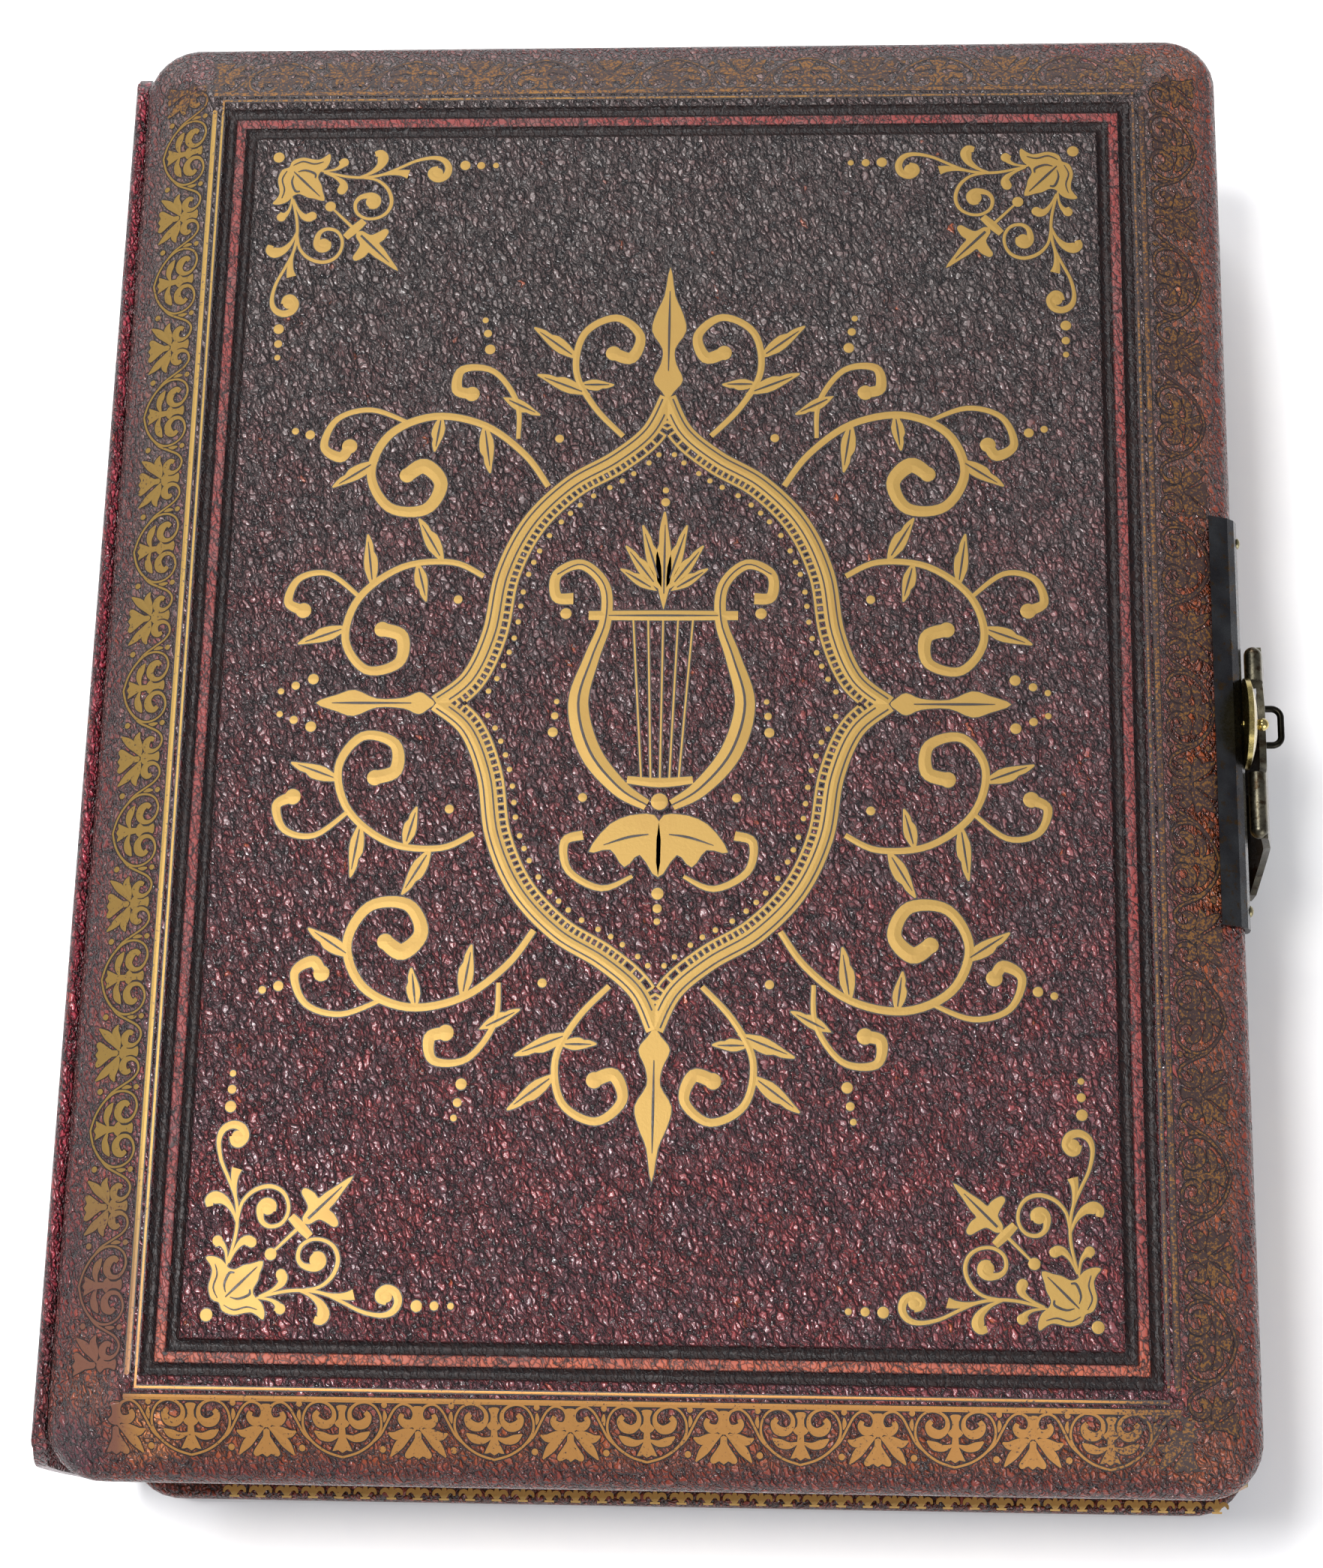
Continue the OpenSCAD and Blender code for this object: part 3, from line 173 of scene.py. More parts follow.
@dataclass(frozen=True)
class Morocco:
    """Boarded goatskin, dyed aubergine and glazed.

    Boarding by hand folds the skin into pebbles about a millimetre wide, and into longer creases
    that all run one way. The glaze makes the creases' walls glint and leaves the pebbles dark, and the
    creases' floors are painted near black as shade. Under the dye the skin is crimson, and it shows
    pebble by pebble where the album was handled.
    """

    name: str
    centre_x: float = 0.0
    half_x: float = 114.5
    half_y: float = 152.0
    ground: str = "#5f3e43"
    ground_head: str = "#5b5250"
    flesh: str = "#84393a"
    ember: str = "#a2502c"
    rim: str = "#84401f"
    lip: str = "#5c1519"
    # painted shade: the near-black colour laid in the creases' floors
    crease_shade: str = "#0c0709"
    joint_flesh: str = "#97323f"
    groove: str = "#1c0d0b"
    ridge: str = "#7d3532"
    ridge_tail: str = "#b05c3c"
    pebble: float = 0.98
    crease: float = 1.9
    lay: float = 22.0
    relief: float = 0.5
    flesh_share: float = 0.5
    dye_kept: float = 1.0
    rim_share: float = 0.85
    grooves: bool = True
    joint: tuple[float, float, float] | None = None
    scuffs: tuple[Scuff, ...] = ()

    def make(self) -> bpy.types.Material:
        """Builds the material.

        Returns:
            The material.
        """
        material, tree, place = new_material(self.name)
        pebbles, height, tint = self._grain(tree, place)
        inset, right, low = self._zones(tree, place)
        colour, pressed = self._colour(tree, place, pebbles, tint, inset, right, low)
        flat = add_node(tree, "Math", {0: 1.0, 1: pressed}, operation="SUBTRACT")
        relief = add_node(tree, "Math", {0: height, 1: flat}, operation="MULTIPLY")
        bump = add_node(tree, "Bump", {"Strength": 1.0, "Distance": self.relief * MM, "Height": relief})
        gloss = add_node(
            tree,
            "TexNoise",
            {"Vector": place, "Scale": 1 / 22, "Detail": 3.0, "Roughness": 0.6},
        )
        rough = add_node(
            tree,
            "MapRange",
            {"Value": gloss, "From Min": 0.3, "From Max": 0.7, "To Min": 0.2, "To Max": 0.32},
        )
        dulled = add_node(tree, "Math", {0: pressed, 1: 0.22, 2: rough}, operation="MULTIPLY_ADD")
        shine = add_node(tree, "MapRange", {"Value": pressed, "To Min": 0.6, "To Max": 0.22})
        shader = add_node(
            tree,
            "BsdfPrincipled",
            {
                "Base Color": colour,
                "Roughness": dulled,
                "IOR": 1.5,
                "Specular IOR Level": shine,
                "Normal": bump,
            },
        )
        close_material(tree, shader)
        return material

    def _grain(
        self, tree: bpy.types.NodeTree, place: bpy.types.NodeSocket
    ) -> tuple[bpy.types.NodeSocket, bpy.types.NodeSocket, bpy.types.NodeSocket]:
        """Draws the pebbles and the long creases between them.

        Args:
            tree: the material's nodes.
            place: coordinates in millimetres.

        Returns:
            The pebbles' mask, outside which the creases get painted shade, the height of the grain, and a
            random colour for each pebble.
        """
        drift = add_node(tree, "TexNoise", {"Vector": place, "Scale": 0.4, "Detail": 2.0, "Roughness": 0.6})
        centred = add_node(
            tree,
            "VectorMath",
            {0: drift.outputs["Color"], 1: (0.5, 0.5, 0.5)},
            operation="SUBTRACT",
        )
        moved = add_node(
            tree,
            "VectorMath",
            {0: centred, 1: (2.6, 2.6, 2.6), 2: place},
            operation="MULTIPLY_ADD",
        )
        turn = (0, 0, math.radians(self.lay))
        short = add_node(
            tree,
            "Mapping",
            {"Vector": moved, "Rotation": turn, "Scale": (1, 1.9, 1)},
            vector_type="TEXTURE",
        )
        edge = add_node(
            tree,
            "TexVoronoi",
            {"Vector": short, "Scale": 1 / self.pebble},
            feature="DISTANCE_TO_EDGE",
        )
        top = add_node(
            tree,
            "MapRange",
            {"Value": edge.outputs["Distance"], "From Min": 0.01, "From Max": 0.2},
            interpolation_type="SMOOTHSTEP",
        )
        cell = add_node(tree, "TexVoronoi", {"Vector": short, "Scale": 1 / self.pebble})
        dome = add_node(
            tree,
            "Math",
            {0: cell.outputs["Distance"], 1: cell.outputs["Distance"]},
            operation="MULTIPLY",
        )
        longer = add_node(
            tree,
            "Mapping",
            {"Vector": moved, "Rotation": turn, "Scale": (1, 3.4, 1)},
            vector_type="TEXTURE",
        )
        fold = add_node(
            tree,
            "TexVoronoi",
            {"Vector": longer, "Scale": 1 / self.crease},
            feature="DISTANCE_TO_EDGE",
        )
        ridge = add_node(
            tree,
            "MapRange",
            {"Value": fold.outputs["Distance"], "From Min": 0.01, "From Max": 0.16},
            interpolation_type="SMOOTHSTEP",
        )
        thin_short = add_node(
            tree, "MapRange", {"Value": edge.outputs["Distance"], "From Max": 0.12, "To Min": 0.1}
        )
        thin_long = add_node(tree, "MapRange",
            {"Value": fold.outputs["Distance"], "From Max": 0.09})
        mask = add_node(tree, "Math", {0: thin_short, 1: thin_long}, operation="MULTIPLY")
        fine = add_node(tree, "TexNoise", {"Vector": place, "Scale": 2.0, "Detail": 2.0, "Roughness": 0.5})
        swell = add_node(tree, "Math", {0: dome, 1: -0.7, 2: top}, operation="MULTIPLY_ADD")
        rise = add_node(tree, "Math", {0: ridge, 1: 0.9, 2: swell}, operation="MULTIPLY_ADD")
        height = add_node(tree, "Math", {0: fine, 1: 0.22, 2: rise}, operation="MULTIPLY_ADD")
        return mask.outputs[0], height.outputs[0], cell.outputs["Color"]

    def _zones(
        self, tree: bpy.types.NodeTree, place: bpy.types.NodeSocket
    ) -> tuple[bpy.types.NodeSocket, bpy.types.NodeSocket, bpy.types.NodeSocket]:
        """Measures how far a point is in from the board's edges.

        Args:
            tree: the material's nodes.
            place: coordinates in millimetres.

        Returns:
            The inset from the nearest edge, and masks of the fore-edge side and of the tail side.
        """
        part = add_node(tree, "SeparateXYZ", {0: place})
        across = add_node(tree, "Math", {0: part.outputs["X"], 1: self.centre_x}, operation="SUBTRACT")
        wide = add_node(tree, "Math", {0: across}, operation="ABSOLUTE")
        tall = add_node(tree, "Math", {0: part.outputs["Y"]}, operation="ABSOLUTE")
        from_x = add_node(tree, "Math", {0: self.half_x, 1: wide}, operation="SUBTRACT")
        from_y = add_node(tree, "Math", {0: self.half_y, 1: tall}, operation="SUBTRACT")
        inset = add_node(tree, "Math", {0: from_x, 1: from_y}, operation="MINIMUM")
        right = add_node(
            tree,
            "MapRange",
            {"Value": across, "From Min": 60.0, "From Max": 100.0},
            interpolation_type="SMOOTHSTEP",
        )
        low = add_node(
            tree,
            "MapRange",
            {"Value": part.outputs["Y"], "From Min": -112.0, "From Max": -142.0},
            interpolation_type="SMOOTHSTEP",
        )
        return inset.outputs[0], right.outputs[0], low.outputs[0]

    def _colour(
        self,
        tree: bpy.types.NodeTree,
        place: bpy.types.NodeSocket,
        pebbles: bpy.types.NodeSocket,
        tint: bpy.types.NodeSocket,
        inset: bpy.types.NodeSocket,
        right: bpy.types.NodeSocket,
        low: bpy.types.NodeSocket,
    ) -> tuple[bpy.types.NodeSocket, bpy.types.NodeSocket]:
        """Colours the skin: dark dye, crimson flesh, a browner rim, black grooves, scuffs, and painted shade
        in the creases.

        Args:
            tree: the material's nodes.
            place: coordinates in millimetres.
            pebbles: mask of the pebbles; the creases outside it get painted shade.
            tint: a random colour for each pebble.
            inset: distance in from the board's edge.
            right: mask of the fore-edge side.
            low: mask of the tail side.

        Returns:
            The colour, and a mask of where the grain is pressed flat.
        """
        patch = add_node(
            tree, "TexNoise", {"Vector": place, "Scale": 1 / 9, "Detail": 5.0, "Roughness": 0.65}
        )
        lot = add_node(tree, "SeparateColor", {0: tint})
        mixed = add_node(tree, "Math", {0: lot, 1: 0.24, 2: patch}, operation="MULTIPLY_ADD")
        bare = add_node(
            tree,
            "MapRange",
            {
                "Value": mixed,
                "From Min": 0.7 - 0.4 * self.flesh_share,
                "From Max": 1.02 - 0.4 * self.flesh_share,
            },
        )
        part = add_node(tree, "SeparateXYZ", {0: place})
        upper = add_node(tree, "MapRange", {"Value": part.outputs["Y"], "From Min": -90.0, "From Max": 90.0})
        kept = add_node(tree, "Math", {0: upper, 1: -0.85 * self.dye_kept, 2: 1.0}, operation="MULTIPLY_ADD")
        shown = add_node(tree, "Math", {0: bare, 1: kept}, operation="MULTIPLY")
        dye = add_node(
            tree,
            "Mix",
            {0: upper, 6: srgb(self.ground), 7: srgb(self.ground_head)},
            data_type="RGBA",
        )
        skin = add_node(tree, "Mix", {0: shown, 6: dye.outputs[2], 7: srgb(self.flesh)}, data_type="RGBA")
        flecks = add_node(tree, "Math", {0: lot.outputs[1], 1: bare}, operation="MULTIPLY")
        lit = add_node(tree, "MapRange", {"Value": flecks, "From Min": 0.84, "From Max": 0.97, "To Max": 0.8})
        flecked = add_node(tree, "Mix", {0: lit, 6: skin.outputs[2], 7: srgb(self.ember)}, data_type="RGBA")
        rim = add_node(
            tree,
            "MapRange",
            {"Value": inset, "From Min": 18.5, "From Max": 9.0, "To Max": self.rim_share},
            interpolation_type="SMOOTHSTEP",
        )
        side = add_node(tree, "Math", {0: right, 1: low}, operation="MAXIMUM", use_clamp=True)
        share = add_node(tree, "MapRange", {"Value": side, "To Min": 0.25, "To Max": 1.0})
        browner = add_node(tree, "Math", {0: rim, 1: share}, operation="MULTIPLY")
        blotch = add_node(tree, "Math", {0: browner, 1: patch}, operation="MULTIPLY")
        doubled = add_node(tree, "Math", {0: blotch, 1: 2.0}, operation="MULTIPLY", use_clamp=True)
        band = add_node(tree, "Mix", {0: doubled, 6: flecked.outputs[2], 7: srgb(self.rim)}, data_type="RGBA")
        outer = add_node(
            tree,
            "MapRange",
            {"Value": inset, "From Min": 6.5, "From Max": 2.0, "To Max": 0.75 * self.rim_share},
            interpolation_type="SMOOTHSTEP",
        )
        lip = add_node(tree, "Mix", {0: outer, 6: band.outputs[2], 7: srgb(self.lip)}, data_type="RGBA")
        result, pressed = lip.outputs[2], None
        if self.grooves:
            result, pressed = self._grooves(tree, result, inset, patch.outputs[0], low)
        if self.joint:
            result = self._joint(tree, place, result)
        for scuff in self.scuffs:
            away = add_node(
                tree,
                "VectorMath",
                {0: place, 1: (scuff.x, scuff.y, scuff.z)},
                operation="DISTANCE",
            )
            ragged = add_node(
                tree,
                "Math",
                {0: patch, 1: -1.6 * scuff.radius, 2: away.outputs["Value"]},
                operation="MULTIPLY_ADD",
            )
            rubbed = add_node(
                tree,
                "MapRange",
                {
                    "Value": ragged,
                    "From Min": 0.35 * scuff.radius,
                    "From Max": -0.3 * scuff.radius,
                    "To Max": scuff.share,
                },
            )
            mix = add_node(tree, "Mix", {0: rubbed, 6: result, 7: srgb(scuff.colour)}, data_type="RGBA")
            result = mix.outputs[2]
        # Painted shade: the creases between the pebbles are coloured near black.
        crease_shaded = add_node(tree, "Mix", {0: pebbles, 6: srgb(self.crease_shade), 7: result}, data_type="RGBA")
        if pressed is None:
            pressed = add_node(tree, "Math", {0: inset, 1: -999.0}, operation="LESS_THAN")
            return crease_shaded.outputs[2], pressed.outputs[0]
        return crease_shaded.outputs[2], pressed

    def _joint(
        self, tree: bpy.types.NodeTree, place: bpy.types.NodeSocket, colour: bpy.types.NodeSocket
    ) -> bpy.types.NodeSocket:
        """Reddens the flexed leather along the front joint, down to where the hand has darkened it.

        Args:
            tree: the material's nodes.
            place: coordinates in millimetres.
            colour: the skin's colour.

        Returns:
            The new colour.
        """
        x, z, reach = self.joint
        part = add_node(tree, "SeparateXYZ", {0: place})
        level = add_node(tree, "CombineXYZ", {0: part.outputs["X"], 1: part.outputs["Z"]})
        away = add_node(tree, "VectorMath", {0: level, 1: (x, z, 0.0)}, operation="DISTANCE")
        near = add_node(
            tree,
            "MapRange",
            {"Value": away.outputs["Value"], "From Min": reach * 1.35, "From Max": reach * 0.8},
        )
        above = add_node(
            tree,
            "MapRange",
            {"Value": part.outputs["Y"], "From Min": -132.0, "From Max": -112.0},
        )
        both = add_node(tree, "Math", {0: near, 1: above}, operation="MULTIPLY")
        mix = add_node(tree, "Mix", {0: both, 6: colour, 7: srgb(self.joint_flesh)}, data_type="RGBA")
        return mix.outputs[2]

    def _grooves(
        self,
        tree: bpy.types.NodeTree,
        colour: bpy.types.NodeSocket,
        inset: bpy.types.NodeSocket,
        patch: bpy.types.NodeSocket,
        low: bpy.types.NodeSocket,
    ) -> tuple[bpy.types.NodeSocket, bpy.types.NodeSocket]:
        """Darkens the two pressed grooves and reddens the ridge between them.

        Args:
            tree: the material's nodes.
            colour: the skin's colour.
            inset: distance in from the board's edge.
            patch: slow noise.
            low: mask of the tail side.

        Returns:
            The new colour, and a mask of the grooves and the ridge, where the tool presses the grain flat.
        """
        groove = BoardShape.GROOVE_WIDTH
        middle = BoardShape.GROOVE_INSET + groove + BoardShape.RIDGE_WIDTH / 2
        away = add_node(tree, "Math", {0: inset, 1: middle}, operation="SUBTRACT")
        apart = add_node(tree, "Math", {0: away}, operation="ABSOLUTE")
        into = add_node(
            tree,
            "Math",
            {0: apart, 1: (BoardShape.RIDGE_WIDTH + groove) / 2},
            operation="SUBTRACT",
        )
        depth = add_node(tree, "Math", {0: into}, operation="ABSOLUTE")
        inside = add_node(
            tree,
            "MapRange",
            {"Value": depth, "From Min": groove * 0.66, "From Max": groove * 0.42},
            interpolation_type="SMOOTHSTEP",
        )
        crest = add_node(
            tree,
            "MapRange",
            {
                "Value": apart,
                "From Min": BoardShape.RIDGE_WIDTH * 0.6,
                "From Max": BoardShape.RIDGE_WIDTH * 0.35,
            },
            interpolation_type="SMOOTHSTEP",
        )
        worn = add_node(tree, "Math", {0: crest, 1: patch}, operation="MULTIPLY")
        more = add_node(tree, "Math", {0: worn, 1: 1.7}, operation="MULTIPLY", use_clamp=True)
        warmth = add_node(
            tree, "Mix", {0: low, 6: srgb(self.ridge), 7: srgb(self.ridge_tail)}, data_type="RGBA"
        )
        red = add_node(tree, "Mix", {0: more, 6: colour, 7: warmth.outputs[2]}, data_type="RGBA")
        black = add_node(tree, "Mix", {0: inside, 6: red.outputs[2], 7: srgb(self.groove)}, data_type="RGBA")
        pressed = add_node(tree, "Math", {0: inside, 1: crest}, operation="MAXIMUM")
        pressed = add_node(tree, "Math", {0: pressed, 1: 0.9}, operation="MULTIPLY")
        return black.outputs[2], pressed.outputs[0]


@dataclass(frozen=True)
class GoldLeaf:
    """Gold leaf laid in with hot brass tools: thin, soft-edged, and rubbed away in specks down to the skin.

    Where the album was handled most the leaf is brown with dirt, and only the impression is left.
    """

    name: str
    leaf: str = "#90733a"
    tarnish: str = "#80592f"
    copper: str = "#a8753f"
    skin: str = "#2c1a18"
    speck: float = 0.6
    loss: float = 0.3
    wear_right: float = 0.0
    wear_top: float = 0.0
    wear_tail: float = 0.0
    blind: str = "#50292d"
    metallic: float = 0.6
    roughness: float = 0.48

    def make(self) -> bpy.types.Material:
        """Builds the material.

        Returns:
            The material.
        """
        material, tree, place = new_material(self.name)
        part = add_node(tree, "SeparateXYZ", {0: place})
        right = add_node(
            tree,
            "MapRange",
            {"Value": part.outputs["X"], "From Min": 70.0, "From Max": 98.0, "To Max": self.wear_right},
            interpolation_type="SMOOTHSTEP",
        )
        top = add_node(
            tree,
            "MapRange",
            {"Value": part.outputs["Y"], "From Min": 128.0, "From Max": 139.0, "To Max": self.wear_top},
            interpolation_type="SMOOTHSTEP",
        )
        tail = add_node(
            tree,
            "MapRange",
            {"Value": part.outputs["Y"], "From Min": -104.0, "From Max": -134.0, "To Max": self.wear_tail},
            interpolation_type="SMOOTHSTEP",
        )
        zone = add_node(tree, "Math", {0: right, 1: top}, operation="MAXIMUM")
        patch = add_node(
            tree, "TexNoise", {"Vector": place, "Scale": 1 / 12, "Detail": 4.0, "Roughness": 0.6}
        )
        warm = add_node(tree, "Mix", {0: tail, 6: srgb(self.leaf), 7: srgb(self.copper)}, data_type="RGBA")
        dull = add_node(tree, "Math", {0: patch, 1: 0.55, 2: zone}, operation="MULTIPLY_ADD")
        faded = add_node(tree, "MapRange", {"Value": dull, "From Min": 0.28, "From Max": 1.0})
        colour = add_node(
            tree,
            "Mix",
            {0: faded, 6: warm.outputs[2], 7: srgb(self.tarnish)},
            data_type="RGBA",
        )
        grit = add_node(
            tree,
            "TexNoise",
            {"Vector": place, "Scale": 1 / self.speck, "Detail": 3.0, "Roughness": 0.7},
        )
        thin = add_node(tree, "Math", {0: zone, 1: 0.22, 2: grit}, operation="MULTIPLY_ADD")
        slow = add_node(tree, "Math", {0: patch, 1: 0.25, 2: thin}, operation="MULTIPLY_ADD")
        bare = add_node(
            tree,
            "MapRange",
            {"Value": slow, "From Min": 0.95 - 0.5 * self.loss, "From Max": 1.02 - 0.5 * self.loss},
        )
        base = add_node(tree, "Mix", {0: bare, 6: colour.outputs[2], 7: srgb(self.skin)}, data_type="RGBA")
        spine_side = add_node(
            tree,
            "MapRange",
            {"Value": part.outputs["X"], "From Min": -99.0, "From Max": -104.0, "To Max": self.wear_tail},
        )
        tail_end = add_node(
            tree, "MapRange", {"Value": part.outputs["Y"], "From Min": -88.0, "From Max": -116.0}
        )
        rubbed = add_node(tree, "Math", {0: spine_side, 1: tail_end}, operation="MULTIPLY")
        tooled = add_node(tree, "Mix", {0: rubbed, 6: base.outputs[2], 7: srgb(self.blind)}, data_type="RGBA")
        gone = add_node(tree, "Math", {0: bare, 1: rubbed}, operation="MAXIMUM")
        metal = add_node(tree, "MapRange", {"Value": gone, "To Min": self.metallic, "To Max": 0.0})
        rough = add_node(tree, "MapRange", {"Value": faded, "To Min": self.roughness, "To Max": 0.6})
        bump = add_node(tree, "Bump", {"Strength": 0.5, "Distance": 0.05 * MM, "Height": grit})
        shader = add_node(
            tree,
            "BsdfPrincipled",
            {"Base Color": tooled.outputs[2], "Metallic": metal, "Roughness": rough, "Normal": bump},
        )
        close_material(tree, shader)
        return material


@dataclass(frozen=True)
class PlainFinish:
    """A finish of one substance with a slow colour change and a fine grain.

    It serves the metals, the papers and the case's wood: each row of the finishes below says which
    substance it is, how its surface was made, and the size of its grain.
    """

    name: str
    base: str
    second: str
    metallic: float
    roughness: float
    roughness_spread: float = 0.1
    patch: float = 12.0
    grain: float = 0.6
    relief: float = 0.02
    stretch: tuple[float, float, float] = (1.0, 1.0, 1.0)
    spots: str | None = None
    spot_share: float = 0.0

    def make(self) -> bpy.types.Material:
        """Builds the material.

        Returns:
            The material.
        """
        material, tree, place = new_material(self.name)
        lay = add_node(tree, "Mapping", {"Vector": place, "Scale": self.stretch})
        slow = add_node(
            tree,
            "TexNoise",
            {"Vector": lay, "Scale": 1 / self.patch, "Detail": 4.0, "Roughness": 0.6},
        )
        spread = add_node(tree, "MapRange", {"Value": slow, "From Min": 0.35, "From Max": 0.65})
        colour = add_node(
            tree,
            "Mix",
            {0: spread, 6: srgb(self.base), 7: srgb(self.second)},
            data_type="RGBA",
        )
        fine = add_node(
            tree,
            "TexNoise",
            {"Vector": lay, "Scale": 1 / self.grain, "Detail": 4.0, "Roughness": 0.65},
        )
        result = colour.outputs[2]
        if self.spots:
            blot = add_node(
                tree,
                "TexNoise",
                {"Vector": place, "Scale": 1 / 2.3, "Detail": 5.0, "Roughness": 0.7},
            )
            spot = add_node(
                tree,
                "MapRange",
                {
                    "Value": blot,
                    "From Min": 0.62 - 0.2 * self.spot_share,
                    "From Max": 0.72 - 0.2 * self.spot_share,
                },
            )
            dirty = add_node(tree, "Mix", {0: spot, 6: result, 7: srgb(self.spots)}, data_type="RGBA")
            result = dirty.outputs[2]
        rough = add_node(
            tree,
            "MapRange",
            {
                "Value": fine,
                "From Min": 0.3,
                "From Max": 0.7,
                "To Min": max(0.05, self.roughness - self.roughness_spread),
                "To Max": self.roughness + self.roughness_spread,
            },
        )
        bump = add_node(tree, "Bump", {"Strength": 0.6, "Distance": self.relief * MM, "Height": fine})
        shader = add_node(
            tree,
            "BsdfPrincipled",
            {"Base Color": result, "Metallic": self.metallic, "Roughness": rough, "Normal": bump},
        )
        close_material(tree, shader)
        return material


@dataclass(frozen=True)
class GiltEdgedLeaves:
    """Thick card leaves with burnished gold on their edges and cream paper on their faces.

    On the edges the gold breaks into fine lines, one for each leaf, with painted shade between them.
    """

    name: str
    paper: str = "#baad88"
    foxing: str = "#93764a"
    gold: str = "#b98f48"
    gap_shade: str = "#5f4526"
    leaf: float = 1.6

    def make(self) -> bpy.types.Material:
        """Builds the material.

        Returns:
            The material.
        """
        material, tree, place = new_material(self.name)
        facing = add_node(tree, "TexCoord")
        facet = add_node(tree, "SeparateXYZ", {0: facing.outputs["Normal"]})
        level = add_node(tree, "Math", {0: facet.outputs["Z"]}, operation="ABSOLUTE")
        edge = add_node(tree, "MapRange", {"Value": level, "From Min": 0.6, "From Max": 0.4})
        blot = add_node(tree, "TexNoise", {"Vector": place, "Scale": 1 / 14, "Detail": 6.0, "Roughness": 0.7})
        foxed = add_node(tree, "MapRange", {"Value": blot, "From Min": 0.5, "From Max": 0.78})
        sheet = add_node(tree, "Mix", {0: foxed, 6: srgb(self.paper), 7: srgb(self.foxing)}, data_type="RGBA")
        squeezed = add_node(tree, "Mapping",
            {"Vector": place, "Scale": (0.02, 0.02, 1 / self.leaf)})
        layers = add_node(
            tree, "TexNoise", {"Vector": squeezed, "Scale": 3.0, "Detail": 3.0,
                "Roughness": 0.7}
        )
        lines = add_node(tree, "MapRange", {"Value": layers, "From Min": 0.42, "From Max": 0.62})
        # Painted shade: darker brown bands between the leaves' gold lines.
        band = add_node(tree, "Mix", {0: lines, 6: srgb(self.gold), 7: srgb(self.gap_shade)}, data_type="RGBA")
        colour = add_node(tree, "Mix", {0: edge, 6: sheet.outputs[2], 7: band.outputs[2]}, data_type="RGBA")
        metal = add_node(tree, "MapRange", {"Value": edge, "To Max": 0.7})
        bump = add_node(tree, "Bump", {"Strength": 0.6, "Distance": 0.12 * MM, "Height": layers})
        shader = add_node(
            tree,
            "BsdfPrincipled",
            {"Base Color": colour.outputs[2], "Metallic": metal, "Roughness": 0.48, "Normal": bump},
        )
        close_material(tree, shader)
        return material


@dataclass(frozen=True)
class BoardShape:
    """The outline and the rim of a leather-covered board, from its middle outwards."""

    GROOVE_INSET = 19.1
    GROOVE_WIDTH = 2.3
    RIDGE_WIDTH = 2.2

    half_x: float = 114.5
    half_y: float = 152.0
    corner: float = 11.0
    groove_depth: float = 0.7
    thickness: float = 12.0

    def rings(self, grooved: bool) -> list[Point]:
        """Lists the rim from the panel to the underside.

        Args:
            grooved: whether the panel's two grooves are pressed in.

        Returns:
            Pairs of inset and height above the board's inner face.
        """
        top = self.thickness
        first = self.GROOVE_INSET
        second = first + self.GROOVE_WIDTH
        third = second + self.RIDGE_WIDTH
        fourth = third + self.GROOVE_WIDTH
        floor = top - self.groove_depth
        rows: list[Point] = [(fourth + 1.2, top)]
        if grooved:
            for inner, outer in ((fourth, third), (second, first)):
                rows += [
                    (inner + 0.35, top), (inner, top - 0.1), (inner - 0.4, floor + 0.24),
                    (inner - 0.75, floor + 0.06), ((inner + outer) / 2, floor), (outer + 0.75, floor + 0.06),
                    (outer + 0.4, floor + 0.24), (outer, top - 0.1), (outer - 0.35, top),
                ]
        rows += [(first - 1.1, top), (16.8, top), (16.1, top - 0.06), (15.5, 11.85), (14.8, 11.65)]
        steps = 15
        for i in range(steps + 1):
            share = i / steps
            rows.append((14.2 + (1.9 - 14.2) * share, 11.4 + (5.69 - 11.4) * share))
        rows += [
            (1.45, 5.44), (1.0, 5.05), (0.6, 4.56), (0.28, 4.02), (0.08, 3.55), (0.0, 3.0), (0.0, 2.3),
            (0.0, 1.7), (0.07, 1.2), (0.22, 0.78), (0.46, 0.42), (0.8, 0.14), (1.3, 0.0), (5.0, 0.0),
            (fourth + 1.2, 0.0),
        ]
        return rows

    def ring_point(self, u: float, v: float, inset: float) -> Point:
        """Places a vertex of the panel's edge on the outline at some inset.

        Args:
            u: where the vertex is across the panel, from -1 to 1.
            v: where it is along the panel, from -1 to 1.
            inset: the outline's distance in from the board's edge.

        Returns:
            The point.
        """
        wide, tall = self.half_x - inset, self.half_y - inset
        radius = max(self.corner - inset, 0.0)
        on_side = abs(u) >= abs(v)
        near, far = (wide, tall) if on_side else (tall, wide)
        straight, arc = far - radius, radius * math.pi / 4
        run = min(abs(u), abs(v)) * (straight + arc)
        if run <= straight or radius == 0.0:
            first, second = near, min(run, far)
        else:
            angle = (run - straight) / radius
            first = near - radius + radius * math.cos(angle)
            second = far - radius + radius * math.sin(angle)
        x, y = (first, second) if on_side else (second, first)
        return math.copysign(x, u), math.copysign(y, v)

    def inset_of(self, x: float, y: float) -> float:
        """Gives how far a point is in from the rounded outline."""
        dx = abs(x) - (self.half_x - self.corner)
        dy = abs(y) - (self.half_y - self.corner)
        if dx > 0 and dy > 0:
            return self.corner - math.hypot(dx, dy)
        return self.corner - max(dx, dy)


